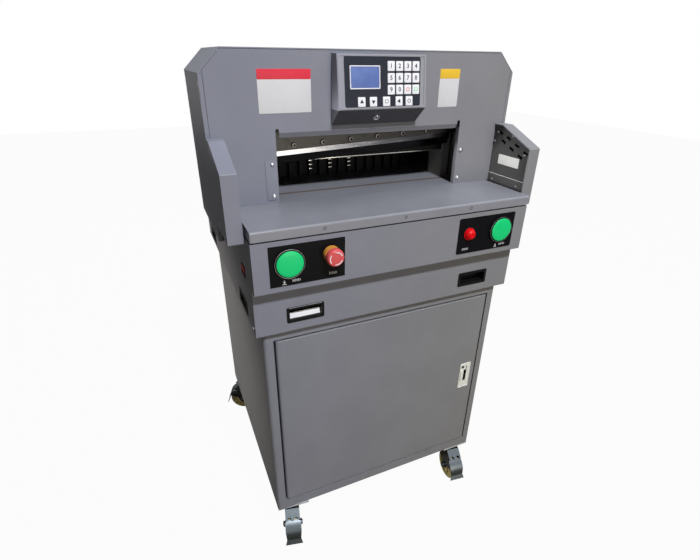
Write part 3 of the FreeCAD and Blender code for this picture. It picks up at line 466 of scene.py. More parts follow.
def makeRoom():
    # White where the camera, a reflection or a clear piece looks into the room, and faint light elsewhere:
    # the strength is the greatest of those rays' flags and the room light.
    world = bpy.data.worlds.new("studio")
    bpy.context.scene.world = world
    world.use_nodes = True
    tree = world.node_tree
    surface = tree.nodes["Background"]
    surface.inputs["Color"].default_value = (1, 1, 1, 1)
    path = tree.nodes.new("ShaderNodeLightPath")
    strength = path.outputs["Is Camera Ray"]
    for ray in ("Is Glossy Ray", "Is Transmission Ray"):
        greater = tree.nodes.new("ShaderNodeMath")
        greater.operation = "MAXIMUM"
        tree.links.new(strength, greater.inputs[0])
        tree.links.new(path.outputs[ray], greater.inputs[1])
        strength = greater.outputs[0]
    base = tree.nodes.new("ShaderNodeMath")
    base.operation = "MAXIMUM"
    tree.links.new(strength, base.inputs[0])
    base.inputs[1].default_value = roomLight
    tree.links.new(base.outputs[0], surface.inputs["Strength"])


floorSet = {
    "half": 9,
    "colour": (0.26, 0.235, 0.19, 1),
    "ownWhite": 0.965,
}


def makeFloor():
    # A plain pale floor: mostly its own white to the camera, with a trace of the object's shadow.
    data = bpy.data.meshes.new("floor")
    r = floorSet["half"]
    data.from_pydata([(-r, -r, 0), (r, -r, 0), (r, r, 0), (-r, r, 0)], [], [(0, 1, 2, 3)])
    floor = bpy.data.objects.new("floor", data)
    bpy.context.collection.objects.link(floor)
    constants = {"Base Color": floorSet["colour"], "Roughness": 0.9, "Specular IOR Level": 0.1}
    pale = Finish("floorPale", constants)
    glow = pale.add("ShaderNodeEmission", {}, {"Color": (1, 1, 1, 1), "Strength": 1.0})
    seen = pale.add("ShaderNodeLightPath", {}, {}, "Is Camera Ray")
    own = Sock(pale, pale.surface.outputs[0])
    mixed = pale.add("ShaderNodeMixShader", {}, {0: seen * floorSet["ownWhite"], 1: own, 2: glow})
    pale.tree.links.new(mixed.out, pale.tree.nodes["Material Output"].inputs["Surface"])
    data.materials.append(pale.material)


makeCamera()
makeLamps()
makeRoom()
makeFloor()
bpy.context.scene.view_settings.view_transform = "Standard"
print("camera, lamps and floor made")


# Mesh helpers

sharpTurn = math.radians(30)  # edges that turn by more stay sharp
cornerPoints = 12
printThick = 0.0002
printEdge = 0.00005


def roundedOutline(halfWide, halfHigh, radius):
    # Rectangle with round corners: each corner is a quarter circle of the radius about its own centre.
    radius = min(radius, halfWide, halfHigh)
    quarter = np.linspace(0, math.pi / 2, cornerPoints)
    angle = np.concatenate([quarter + k * math.pi / 2 for k in range(4)])
    signX = np.repeat([1, -1, -1, 1], cornerPoints)
    signY = np.repeat([1, 1, -1, -1], cornerPoints)
    x = signX * (halfWide - radius) + radius * np.cos(angle)
    y = signY * (halfHigh - radius) + radius * np.sin(angle)
    return np.stack([x, y], 1)


def polygonOutline(sides, across, count):
    # Regular polygon by polar radius: half the distance across flats over the cosine of the angle from the
    # middle of the nearest flat.
    angle = np.linspace(0, 2 * math.pi, count, endpoint=False)
    step = 2 * math.pi / sides
    off = np.mod(angle, step) - step / 2
    radius = across / 2 / np.cos(off)
    return np.stack([radius * np.cos(angle), radius * np.sin(angle)], 1)


def roundOutline(across, count=24):
    # Circle as a polygon of so many sides that it looks round.
    return polygonOutline(count, across, count)


def crossOutline(half, arm, count):
    # Cross by polar radius: in each direction the slot that reaches further, and for each slot the nearer
    # of its end and its side.
    angle = np.linspace(0, 2 * math.pi, count, endpoint=False)
    c = np.abs(np.cos(angle))
    s = np.abs(np.sin(angle))
    flat = np.minimum(half / np.maximum(c, 1e-6), arm / np.maximum(s, 1e-6))
    tall = np.minimum(half / np.maximum(s, 1e-6), arm / np.maximum(c, 1e-6))
    radius = np.maximum(flat, tall)
    return np.stack([radius * np.cos(angle), radius * np.sin(angle)], 1)


def stackRings(outlines, lifts):
    # One ring of points for each outline, at its own lift above the plane.
    rings = [np.column_stack([o, np.full(len(o), z)]) for o, z in zip(outlines, lifts)]
    return np.stack(rings)


def ringMesh(rings, loop=False):
    # Joins neighbouring rings by quads; the first and last rings get caps unless the rings form a loop.
    count, around = rings.shape[:2]
    index = np.arange(count * around).reshape(count, around)
    if loop:
        index = np.vstack([index, index[:1]])
    ahead = np.roll(index, -1, axis=1)
    quads = np.stack([index[:-1], ahead[:-1], ahead[1:], index[1:]], -1).reshape(-1, 4)
    faces = quads.tolist()
    if not loop:
        faces.append(index[0][::-1].tolist())
        faces.append(index[-1].tolist())
    return rings.reshape(-1, 3), faces


def slab(halfWide, halfHigh, radius, thick, edge):
    # Plate with a rounded top edge: the outline shrinks along a quarter circle as it rises.
    turn = np.linspace(0, math.pi / 2, 4)
    insets = [0.0, *(edge * (1 - np.cos(turn)))]
    lifts = [0.0, *(thick - edge + edge * np.sin(turn))]
    outlines = [roundedOutline(halfWide - i, halfHigh - i, max(radius - i, 0.0002)) for i in insets]
    return ringMesh(stackRings(outlines, lifts))


def frameRing(halfWide, halfHigh, radius, wide, thick, edge):
    # Raised frame: a section with two rounded shoulders carried round the outline.
    section = [(0, 0), (0, thick - edge), (edge * 0.3, thick - edge * 0.3), (edge, thick),
               (wide - edge, thick), (wide - edge * 0.3, thick - edge * 0.3), (wide, thick - edge), (wide, 0)]
    outlines = [roundedOutline(halfWide - i, halfHigh - i, max(radius - i, 0.0002)) for i, z in section]
    return ringMesh(stackRings(outlines, [z for i, z in section]), loop=True)


def turned(profile, count=48):
    # Surface of revolution: each (radius, lift) of the profile is a circle about the axis. The flats lie
    # nearer to the axis than the corners, by the cosine of half a side's angle.
    flats = 2 * math.cos(math.pi / count)
    outlines = [roundOutline(max(r, 1e-5) * flats, count) for r, z in profile]
    return ringMesh(stackRings(outlines, [z for r, z in profile]))


def slabOf(outline, thick):
    # Flat plate of any outline.
    return ringMesh(stackRings([outline, outline], [-0.00005, thick]))


def printAndHighlightBar(halfWide, halfHigh):
    # A thin bar as of print, or as a painted highlight along an edge.
    return slab(halfWide, halfHigh, 0.0003, printThick, printEdge)


def moved(part, x, y, lift=0.0):
    # A part shifted in its own frame.
    points, faces = part
    return points + np.array([x, y, lift]), faces


def placed(part, centre, axisX, axisY):
    # Local x and y go along the two axes, and the lift along their cross product.
    points, faces = part
    u = np.array(Vector(axisX).normalized())
    v = np.array(Vector(axisY).normalized())
    w = np.cross(u, v)
    return np.array(centre) + points @ np.stack([u, v, w]), faces


def joined(parts):
    # Many parts as one: the points stacked, and each part's faces counted on from the last.
    points = []
    faces = []
    total = 0
    for p, f in parts:
        points.append(p)
        faces.extend([[i + total for i in face] for face in f])
        total += len(p)
    return np.vstack(points), faces


def makePiece(name, part, finish, body="machine"):
    # A mesh object with its finish and the body it moves with.
    points, faces = part
    data = bpy.data.meshes.new(name)
    data.from_pydata(points.tolist(), [], faces)
    data.update()
    piece = bpy.data.objects.new(name, data)
    bpy.context.collection.objects.link(piece)
    data.materials.append(finishes[finish])
    data.shade_smooth()
    data.set_sharp_from_angle(angle=sharpTurn)
    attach(piece, body)
    return piece


def onFace(part, side, across, z, plane, lift=0.0):
    # Puts a part on an upright face: "front" and "rear" lie across X, "left" and "right" lie across Y.
    frames = {
        "front": ((across, plane - lift, z), (1, 0, 0)),
        "rear": ((across, plane + lift, z), (-1, 0, 0)),
        "left": ((plane - lift, across, z), (0, -1, 0)),
        "right": ((plane + lift, across, z), (0, 1, 0)),
    }
    centre, axisX = frames[side]
    return placed(part, centre, axisX, (0, 0, 1))


def onTop(part, x, y, z):
    # Puts a part on a level face, as it lies.
    return placed(part, (x, y, z), (1, 0, 0), (0, 1, 0))


def arcBand(radius, wide, start, end, thick):
    # Flat curved bar: a thin rectangle carried along an arc from start to end degrees, with closed ends.
    angle = np.radians(np.linspace(start, end, 20))
    inner = radius - wide / 2
    outer = radius + wide / 2
    section = [(inner, 0.0), (outer, 0.0), (outer, thick), (inner, thick)]
    rings = np.stack([np.array([[r * math.cos(a), r * math.sin(a), z] for r, z in section]) for a in angle])
    return ringMesh(rings[::-1])


def screwHead(radius, tall, recess, size):
    # Head with a rounded rim and a hexagon or cross recess: rings rise, turn in and go down again.
    hollow = polygonOutline(6, 2 * size, 24) if recess == "hex" else crossOutline(size, size * 0.26, 24)
    edge = min(radius * 0.2, tall * 0.5)
    radii = [radius, radius, radius - edge * 0.3, radius - edge]
    outlines = [roundOutline(2 * r) for r in radii] + [hollow, hollow * 0.96]
    lifts = [-0.0002, tall - edge, tall - edge * 0.3, tall, tall, tall * 0.4]
    return ringMesh(stackRings(outlines, lifts))


def domeHead(radius, tall):
    # Domed head on a thin washer: a quarter of an ellipse turned about the axis.
    wide = radius * 1.35
    washer = 0.0012
    profile = [(wide, -0.0002), (wide, washer * 0.75), (radius * 1.28, washer), (radius, washer)]
    turn = np.linspace(0, math.pi / 2, 7)
    profile += [(radius * math.cos(t), washer + tall * math.sin(t)) for t in turn[1:]]
    return turned(profile, 32)


def numberShape(word, high):
    # A printed figure: the built-in font, made a mesh and lifted by a hair.
    curve = bpy.data.curves.new("figure", "FONT")
    curve.body = word
    curve.size = high
    curve.align_x = "CENTER"
    curve.align_y = "CENTER"
    curve.extrude = 0.0001
    curve.offset = high * 0.02
    holder = bpy.data.objects.new("figure", curve)
    mesh = bpy.data.meshes.new_from_object(holder)
    flat = np.empty(len(mesh.vertices) * 3)
    mesh.vertices.foreach_get("co", flat)
    faces = [list(p.vertices) for p in mesh.polygons]
    bpy.data.objects.remove(holder)
    bpy.data.meshes.remove(mesh)
    return flat.reshape(-1, 3), faces


# Control unit: keys, display, figures, rim and lock

unitSet = {
    "topDepth": 0.029,
    "bottomDepth": 0.043,
    "topZ": 1.347,
    "bottomZ": 1.236,
    "footZ": 1.200,
    "centreX": -0.002,
    "filmThick": 0.0012,
    "filmHalf": (0.094, 0.0511),
    "key": (0.0089, 0.0100, 0.0016, 0.0014, 0.0005),  # half width, half height, corner, thickness, edge
    "keyColumns": (0.0185, 0.0396, 0.0607, 0.0818),
    "keyRows": (0.032, 0.008, -0.016),
    "lowKeys": (-0.0552, -0.0267, 0.0062, 0.0383, 0.0645),
    "lowRow": -0.040,
    "display": (-0.0455, 0.0095),
    "displayHalf": (0.0365, 0.0235),
    "figureHigh": 0.0125,
    "triangle": 0.0052,
    "markHalf": 0.0042,
    "rimBeyondFilm": (0.0145, 0.0039),
    "lockX": -0.0096,
    "lockTop": 0.0036,
}


def unitFrame():
    # The sloping face: its middle, its upward direction and its outward direction.
    low = Vector((unitSet["centreX"], headFaceY - unitSet["bottomDepth"], unitSet["bottomZ"]))
    high = Vector((unitSet["centreX"], headFaceY - unitSet["topDepth"], unitSet["topZ"]))
    upward = (high - low).normalized()
    return (low + high) / 2, upward, Vector((1, 0, 0)).cross(upward)


def onUnit(part, x, y, lift=0.0):
    # Puts a part on the film of the sloping face, x and y from the face's middle.
    middle, upward, outward = unitFrame()
    spot = middle + Vector((x, 0, 0)) + upward * y + outward * (unitSet["filmThick"] + lift)
    return placed(part, spot, (1, 0, 0), upward)


def keySpots():
    # The grid of keys row by row from the top, and the longer row under it.
    spots = [(x, y) for y in unitSet["keyRows"] for x in unitSet["keyColumns"]]
    return spots, [(x, unitSet["lowRow"]) for x in unitSet["lowKeys"]]


def keySymbols():
    # Plain marks of the lower row: triangles up and down, a square, a triangle to the left and a ring.
    triangle = polygonOutline(3, unitSet["triangle"], 24)
    up = slabOf(triangle @ np.array([[0, 1], [-1, 0]]), printThick)
    down = slabOf(triangle @ np.array([[0, -1], [1, 0]]), printThick)
    left = slabOf((triangle * np.array([-1, 1]))[::-1], printThick)
    half = unitSet["markHalf"]
    ring = frameRing(half, half, half, 0.0012, printThick, printEdge)
    square = frameRing(half, half - 0.0006, 0.0004, 0.0010, printThick, printEdge)
    return [up, down, square, left, ring]


def makeUnit():
    # Keys and their marks, the display and the rim, each put on the sloping face.
    key = slab(*unitSet["key"])
    keyTop = unitSet["key"][3]
    grid, low = keySpots()
    keys = joined([onUnit(key, x, y) for x, y in grid + low])
    makePiece("keypad_keys", keys, "keys")
    figures = [numberShape(word, unitSet["figureHigh"]) for word in "1234567890"]
    symbols = keySymbols()
    marks = [onUnit(f, x, y, keyTop) for f, (x, y) in zip(figures, grid)]
    marks += [onUnit(f, x, y, keyTop) for f, (x, y) in zip(symbols, low)]
    makePiece("keypad_figures", joined(marks), "ink")
    clearMark = onUnit(symbols[4], *grid[10], keyTop)
    makePiece("keypad_clear_mark", clearMark, "labelRed")
    enterMark = onUnit(symbols[2], *grid[11], keyTop)
    makePiece("keypad_enter_mark", enterMark, "green")
    x, y = unitSet["display"]
    wide, high = unitSet["displayHalf"]
    rim = frameRing(wide, high, 0.002, 0.0022, 0.0012, 0.0004)
    makePiece("display_frame", onUnit(rim, x, y), "keys")
    glass = slab(wide - 0.0020, high - 0.0020, 0.001, 0.0005, 0.0002)
    makePiece("display_glass", onUnit(glass, x, y), "screen")
    wide, high = np.add(unitSet["filmHalf"], unitSet["rimBeyondFilm"])
    rim = onUnit(frameRing(wide, high, 0.006, 0.0040, 0.0012, 0.0004), 0, 0, -unitSet["filmThick"])
    makePiece("unit_front_rim", rim, "unitShell")


def makeUnitLock():
    # Key lock in the slanted underside: a bright collar, a plug and a slot.
    upward = Vector((0, unitSet["bottomDepth"], unitSet["footZ"] - unitSet["bottomZ"])).normalized() * -1
    middleZ = (unitSet["bottomZ"] + unitSet["footZ"]) / 2
    middle = Vector((unitSet["lockX"], headFaceY - unitSet["bottomDepth"] * 0.5, middleZ))
    top = unitSet["lockTop"]
    collar = turned([(0.0085, -0.0002), (0.0085, 0.003), (0.0078, 0.0038), (0.0066, 0.0038), (0.0062, 0.0030),
                     (0.0060, top - 0.0002), (0.0055, top), (0.00001, top)])
    makePiece("unit_lock", placed(collar, middle, (1, 0, 0), upward), "chrome")
    slot = moved(slab(0.0008, 0.0034, 0.0007, 0.0002, 0.00005), 0, 0, top + 0.0001)
    slot = placed(slot, middle, (1, 0, 0), upward)
    makePiece("unit_lock_slot", slot, "blackPlastic")


makeUnit()
makeUnitLock()
print("control unit made")


# Start buttons, stop button and panel marks

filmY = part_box("control_overlays")[0].y
buttonSet = {
    "greenX": 0.2765,
    "greenZ": 0.955,
    "greenRadius": 0.0295,
    "greenBack": 0.0065,
    "ringRadius": 0.033,
    "ringDepth": 0.006,
    "stopX": -0.1825,
    "stopZ": 0.9615,
    "stopDepth": 0.015,
    "stopRadius": 0.0200,
    "stopCrown": 0.01485,
    "arcRadius": 0.0140,
    "arcStarts": (20, 140, 260),
    "arcTurn": 78,
    "lampX": 0.1815,
    "lampZ": 0.955,
    "lampRadius": 0.0172,
}


def makeGreenButtons():
    # Caps with a soft crown: the radius falls as a rounded rim, then the face rises to the middle.
    b = buttonSet
    r = b["greenRadius"]
    profile = [(r - 0.0006, 0), (r, 0.0006), (r, 0.0012), (r - 0.0007, 0.0020), (r - 0.0022, 0.0025),
               (r * 0.7, 0.0030), (r * 0.35, 0.0034), (0.00001, 0.0035)]
    trim = frameRing(b["ringRadius"], b["ringRadius"], b["ringRadius"], 0.0007, 0.0004, 0.0001)
    for side, label in ((-1, "left"), (1, "right")):
        x = side * b["greenX"]
        cap = onFace(turned(profile, 64), "front", x, b["greenZ"], filmY - b["greenBack"])
        cap = makePiece("green_cap_" + label, cap, "green", "green_button_" + label)
        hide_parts("green_button_" + label)
        ring = onFace(trim, "front", x, b["greenZ"], filmY, b["ringDepth"])
        makePiece("green_trim_" + label, ring, "screw")


def makeStopButton():
    # Mushroom head on a neck: straight wall, rounded shoulder and a flat face with three curved marks. The
    # collar's profile goes on down its bore, so that the neck can slide in it.
    b = buttonSet
    r = b["stopRadius"]
    crown = b["stopCrown"]
    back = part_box("estop_button")[0].y + b["stopDepth"]
    profile = [(0.00001, -0.008), (r / 2, -0.008), (r / 2, 0), (r - 0.0014, 0.0002), (r - 0.0002, 0.0012),
               (r, 0.0030), (r - 0.0002, 0.0080), (r - 0.0008, 0.0115), (r - 0.0020, 0.0137),
               (r - 0.0035, 0.0147), (r * 0.6, crown), (0.00001, crown)]
    head = onFace(turned(profile, 64), "front", b["stopX"], b["stopZ"], back)
    head = makePiece("stop_head", head, "stopRed", "estop_button")
    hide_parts("estop_button")
    arcs = [arcBand(b["arcRadius"], 0.0021, start, start + b["arcTurn"], 0.0001) for start in b["arcStarts"]]
    arcs = [onFace(arc, "front", b["stopX"], b["stopZ"], back, crown + 0.00001) for arc in arcs]
    makePiece("stop_arcs", joined(arcs), "keys", "estop_button")
    collar = [(0.0190, -0.0002), (0.0191, 0.0008), (0.0190, 0.0020), (0.0188, 0.0090), (0.0187, 0.0108),
              (0.0180, 0.0112), (0.0128, 0.0112), (0.0127, 0.0004)]
    collar = onFace(turned(collar, 48), "front", b["stopX"], b["stopZ"], filmY)
    makePiece("stop_collar", collar, "yellow")


markSet = {
    "arrowZ": 0.9110,
    "arrowOff": (-0.013, -0.006),  # from the left and the right start button
    "startBarsZ": 0.9130,
    "startBarsOff": 0.014,
    "otherBarsZ": 0.9150,
    "lampBarsOff": -0.006,
    "stopBarsOff": 0.004,
    "tip": 0.0034,
    "barCount": 6,
    "barPitch": 0.0032,
    "barHigh": 0.0066,
}


def strokeMark():
    # Small printed mark: an arrow down to a line, for the stroke.
    tip = slabOf(polygonOutline(3, markSet["tip"], 24) @ np.array([[0, -1], [1, 0]]), printThick)
    shaft = moved(printAndHighlightBar(0.0005, 0.0026), 0, 0.0042)
    line = moved(printAndHighlightBar(0.0046, 0.0007), 0, -0.0040)
    return joined([shaft, moved(tip, 0, 0.0004), line])


def tallyMark(count, pitch, high):
    # Row of upright bars about the middle, every second one a quarter shorter.
    bars = []
    for i in range(count):
        bar = printAndHighlightBar(0.0007, high / 2 * (1 - 0.25 * (i % 2)))
        bars.append(moved(bar, (i - (count - 1) / 2) * pitch, 0))
    return joined(bars)


def makePanelMarks():
    # Arrows and rows of bars under the buttons, each a little off the middle of its button.
    b = buttonSet
    m = markSet
    arrow = strokeMark()
    bars = tallyMark(m["barCount"], m["barPitch"], m["barHigh"])
    spots = [
        (arrow, -b["greenX"] + m["arrowOff"][0], m["arrowZ"]),
        (bars, -b["greenX"] + m["startBarsOff"], m["startBarsZ"]),
        (bars, b["lampX"] + m["lampBarsOff"], m["otherBarsZ"]),
        (arrow, b["greenX"] + m["arrowOff"][1], m["arrowZ"]),
        (bars, b["greenX"] + m["startBarsOff"], m["startBarsZ"]),
    ]
    marks = [onFace(mark, "front", x, z, filmY) for mark, x, z in spots]
    makePiece("panel_marks", joined(marks), "label")
    stopBars = onFace(bars, "front", b["stopX"] + m["stopBarsOff"], m["otherBarsZ"], filmY)
    makePiece("panel_stop_mark", stopBars, "label")


def makeLampRing():
    # A low collar about the lamp, open inwards.
    b = buttonSet
    r = b["lampRadius"]
    profile = [(r, -0.0002), (r, 0.0012), (r - 0.0006, 0.0018), (r - 0.0014, 0.0018), (r - 0.0016, 0.0008)]
    ring = onFace(turned(profile), "front", b["lampX"], b["lampZ"], filmY)
    makePiece("lamp_ring", ring, "blackPlastic")


makeGreenButtons()
makeStopButton()
makePanelMarks()
makeLampRing()
print("buttons made")


# Corner plates and painted highlights on the bends, blank sign plates, access plate and bolts

signSet = {
    # middle x, middle z, half width, half height, band height, band finish
    "left": (-0.2185, 1.2735, 0.0585, 0.0435, 0.020, "labelRed"),
    "right": (0.1985, 1.2740, 0.0285, 0.0430, 0.021, "labelYellow"),
}
headSet = {
    "boltX": 0.2565,
    "boltZ": (1.048, 1.122),
    "bolt": (0.0048, 0.0034),
    "accessX": -0.2595,
    "accessZ": 1.0855,
    "accessHalf": (0.0135, 0.0455),
}
bendSet = {
    "cornerX": 0.3839,
    "cornerZ": 1.3093,
    "cornerWide": 0.0054,
    "cornerHigh": 0.0052,
    "cornerThick": 0.0016,
    "cornerSunk": 0.0020,
    "wingBendZ": 1.1404,
    "underTop": 0.0012,
    "halfHigh": 0.0005,
}


def bendLine(low, high, inset, z):
    # A painted highlight along the front of a box, short of its ends by the inset.
    line = printAndHighlightBar((high.x - low.x) / 2 - inset, bendSet["halfHigh"])
    return onFace(line, "front", (low.x + high.x) / 2, z, low.y)


def makeCornersAndBends():
    # Small triangles that close the head's corners, and painted highlights along the door's top edge and
    # the wings' bends.
    b = bendSet
    right = np.array([(0, 0), (b["cornerWide"], 0), (0, b["cornerHigh"])])
    left = np.array([(0, 0), (0, b["cornerHigh"]), (-b["cornerWide"], 0)])
    corners = []
    for outline, side in ((right, 1), (left, -1)):
        plate = slabOf(outline, b["cornerThick"])
        corners.append(onFace(plate, "front", side * b["cornerX"], b["cornerZ"], headFaceY, -b["cornerSunk"]))
    makePiece("head_corner_plates", joined(corners), "machine")
    low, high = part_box("cabinet_door")
    line = bendLine(low, high, 0.002, high.z - b["underTop"])
    makePiece("door_bend_line", line, "bendHighlight", "door")
    lines = [bendLine(*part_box(name), 0.0008, b["wingBendZ"]) for name in ("left_wing", "right_wing")]
    makePiece("wing_bend_lines", joined(lines), "bendHighlight")


def makeSigns():
    # Blank plates, each with a plain band along its top.
    for name, (x, z, wide, high, band, bandFinish) in signSet.items():
        plate = onFace(slab(wide, high, 0.002, 0.0006, 0.0002), "front", x, z, headFaceY)
        makePiece("sign_plate_" + name, plate, "label")
        strip = slab(wide, band / 2, 0.002, printThick, printEdge)
        strip = onFace(strip, "front", x, z + high - band / 2, headFaceY, 0.0006)
        makePiece("sign_band_" + name, strip, bandFinish)


def makeHeadHardware():
    # Four domed bolts beside the throat, and the plate that the two on the left hold.
    h = headSet
    spots = [(side * h["boltX"], z) for side in (-1, 1) for z in h["boltZ"]]
    bolts = [onFace(domeHead(*h["bolt"]), "front", x, z, headFaceY) for x, z in spots]
    makePiece("head_bolts", joined(bolts), "chrome")
    plate = slab(*h["accessHalf"], 0.0015, 0.0015, 0.0006)
    plate = onFace(plate, "front", h["accessX"], h["accessZ"], headFaceY)
    makePiece("access_plate", plate, "machine")


carrierSet = {
    "firstX": -0.1862,
    "pitch": 0.0736,
    "count": 6,
    "levelZ": 1.0780,
    "faceBehindHead": 0.054,
    "head": (0.0062, 0.005, "hex", 0.0030),
    "socketAcross": 0.0058,
    "socketLift": 0.0021,
    "clampLineHigh": 0.0022,
}


def raisedSpot(x, z):
    # A level place turned about the swing's centre by the slant, so that it lies on the raised knife.
    c = math.cos(knifeSlant)
    s = math.sin(knifeSlant)
    return swingX + (x - swingX) * c - (z - swingZ) * s, swingZ + (x - swingX) * s + (z - swingZ) * c


def makeCarrierScrews():
    # A row of socket screws at one pitch along the carrier, with dark floors in their sockets.
    c = carrierSet
    plane = headFaceY + c["faceBehindHead"]
    spots = [raisedSpot(c["firstX"] + i * c["pitch"], c["levelZ"]) for i in range(c["count"])]
    heads = [onFace(screwHead(*c["head"]), "front", x, z, plane) for x, z in spots]
    makePiece("carrier_screws", joined(heads), "oxide", "knife_slide")
    floor = slabOf(polygonOutline(6, c["socketAcross"], 24), 0.0004)
    floors = [onFace(floor, "front", x, z, plane, c["socketLift"]) for x, z in spots]
    makePiece("carrier_screw_sockets", joined(floors), "blackPlastic", "knife_slide")


def makeClampLine():
    # Bright wear strip along the clamp's lower front edge.
    low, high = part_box("clamp_beam")
    tall = carrierSet["clampLineHigh"]
    strip = slab((high.x - low.x) / 2 - 0.001, tall / 2, 0.0004, 0.0003, 0.0001)
    strip = onFace(strip, "front", (low.x + high.x) / 2, low.z + tall / 2, low.y)
    makePiece("clamp_edge_strip", strip, "bright", "clamp")


gaugeSet = {
    "columns": (-0.090, -0.030, 0.030),
    "rows": (1.0525, 1.0640, 1.0750),
    "half": (0.0050, 0.0014),
}


def makeGaugeTabs():
    # Three columns of short bright tabs on the back gauge's front.
    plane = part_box("back_gauge")[0].y
    wide, high = gaugeSet["half"]
    tab = slab(wide, high, 0.0008, 0.0005, 0.0002)
    tabs = [onFace(tab, "front", x, z, plane) for x in gaugeSet["columns"] for z in gaugeSet["rows"]]
    makePiece("gauge_tabs", joined(tabs), "bright", "back_gauge")


makeCornersAndBends()
makeSigns()
makeHeadHardware()
makeCarrierScrews()
makeClampLine()
makeGaugeTabs()
print("signs, head hardware and throat pieces made")


# Wings: inner flange, blank plate and screws

wingSet = {
    "plateX": 0.363,
    # flange and blank: place along Y from the head's face, height, half width, half height
    "flange": (-0.0715, 1.045, 0.0665, 0.012),
    "flangeThick": 0.0016,
    "blank": (-0.0695, 1.098, 0.0385, 0.0125),
    "edgeHalfHigh": 0.0006,
    "head": (0.0036, 0.0018, "cross", 0.0024),
    # screws: place along Y from the head's face, height
    "screws": ((-0.0162, 1.1646), (-0.0056, 1.1407), (-0.0737, 1.1619), (-0.1227, 1.1222)),
    "flangeScrews": ((-0.0193, 1.0400), (-0.1122, 1.0400)),
}


def makeWingDetails():
    # The same on the inner plates of both wings, so that each side mirrors the other.
    w = wingSet
    parts = {"flange": [], "edge": [], "blank": [], "screws": []}
    head = screwHead(*w["head"])
    for side, face in ((1, "left"), (-1, "right")):
        plane = side * w["plateX"]
        along, z, wide, high = w["flange"]
        flange = slab(wide, high, 0.001, w["flangeThick"], 0.0006)
        parts["flange"].append(onFace(flange, face, headFaceY + along, z, plane))
        # A painted highlight along the top edge of each flange.
        edge = slab(wide, w["edgeHalfHigh"], 0.0005, 0.0004, 0.0001)
        edgeZ = z + high - w["edgeHalfHigh"]
        parts["edge"].append(onFace(edge, face, headFaceY + along, edgeZ, plane, w["flangeThick"] - 0.0001))
        # A foil plate, its bright reflection painted in as a pale matt colour.
        along, z, wide, high = w["blank"]
        blank = slab(wide, high, 0.001, 0.0006, 0.0002)
        parts["blank"].append(onFace(blank, face, headFaceY + along, z, plane))
        for spots, lift in ((w["screws"], 0.0), (w["flangeScrews"], w["flangeThick"])):
            parts["screws"] += [onFace(head, face, headFaceY + y, z, plane, lift) for y, z in spots]
    makePiece("wing_flanges", joined(parts["flange"]), "innerPlate")
    makePiece("wing_flange_edges", joined(parts["edge"]), "foilSheen")
    makePiece("wing_blank_plates", joined(parts["blank"]), "foilSheen")
    makePiece("wing_screws", joined(parts["screws"]), "screw")


makeWingDetails()
print("wing details made")


# Sheet screws on the sides, rear, top and table

screwSet = {
    "proud": (0.0042, 0.0022, "cross", 0.0026),
    "flushRadii": (0.0026, 0.0040, 0.0039),
    "cross": 0.0026,
    "inset": 0.020,
    "edgeInset": 0.012,
    "sideInset": 0.025,
    "chamfer": 0.047,
    "wingZ": 1.007,
    "wingBack": (0.030, 0.110),
    "bodyInset": 0.045,
    "bodyLift": 0.014,
    "coverZ": (1.200, 1.335),
    "plug": (0.0036, 0.0004, "hex", 0.0024),
    "plugX": (-0.197, -0.003, 0.176),
    "plugZ": 1.0215,
}


def flushHead():
    # Countersunk head with a cross recess: its rings follow the seat, and its top is a hair below the sheet.
    cross = crossOutline(screwSet["cross"], screwSet["cross"] * 0.28, 24)
    outlines = [roundOutline(2 * r) for r in screwSet["flushRadii"]] + [cross, cross * 0.94]
    return ringMesh(stackRings(outlines, [-0.0014, -0.0003, -0.0001, -0.0001, -0.0011]))


def sideScrews(proud, flush):
    # Two columns of three on each side of the head, a pair under each wing and two low on the body.
    s = screwSet
    headLow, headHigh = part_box("head_right_side")
    bodyLow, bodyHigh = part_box("body_right_panel")
    low = headLow.z + s["edgeInset"]
    shoulder = headHigh.z - s["chamfer"]
    rows = [low, (headLow.z + shoulder) / 2, shoulder - s["inset"]]
    spots = []
    for face, side in (("left", -1), ("right", 1)):
        plane = side * headHigh.x
        for y in (headLow.y + s["inset"], headHigh.y - s["inset"]):
            spots += [onFace(flush, face, y, z, plane) for z in rows]
        spots += [onFace(flush, face, headLow.y - back, s["wingZ"], plane) for back in s["wingBack"]]
        for y in (bodyLow.y + s["bodyInset"], bodyHigh.y - s["inset"]):
            spots.append(onFace(proud, face, y, bodyLow.z + s["bodyLift"], side * bodyHigh.x))
    return spots


def rearScrews(proud, flush):
    # Four columns at even steps: three rows on the body's back and two on the head's rear cover.
    s = screwSet
    low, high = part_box("body_back_panel")
    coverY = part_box("head_rear_cover")[1].y
    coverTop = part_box("rear_cover")[1].z
    inset = s["edgeInset"]
    rows = [low.z + inset, high.z - inset, coverTop - inset]
    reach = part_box("body_right_panel")[1].x - s["sideInset"]
    spots = []
    for x in (-reach, -reach / 3, reach / 3, reach):
        spots += [onFace(flush, "rear", x, z, high.y) for z in rows]
        spots += [onFace(proud, "rear", x, z, coverY) for z in s["coverZ"]]
    return spots


def roofScrews(flush):
    # Three along the front edge of the roof and three along its rear edge.
    s = screwSet
    low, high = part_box("head_right_side")
    roofX = high.x - s["chamfer"] - s["sideInset"]
    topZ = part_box("head_top_cover")[1].z
    edges = (low.y + s["edgeInset"], high.y - s["edgeInset"])
    return [onTop(flush, x, y, topZ) for x in (-roofX, 0.0, roofX) for y in edges]


def makeSheetScrews():
    # All heads on the sheets as one piece, and the dark plugs in the table's front edge as another.
    s = screwSet
    proud = screwHead(*s["proud"])
    flush = flushHead()
    spots = sideScrews(proud, flush) + rearScrews(proud, flush) + roofScrews(flush)
    makePiece("sheet_screws", joined(spots), "screw")
    plug = screwHead(*s["plug"])
    plugs = [onFace(plug, "front", x, s["plugZ"], tableFrontY, -0.0003) for x in s["plugX"]]
    makePiece("table_edge_screws", joined(plugs), "blackPlastic")


makeSheetScrews()
print("sheet screws made")
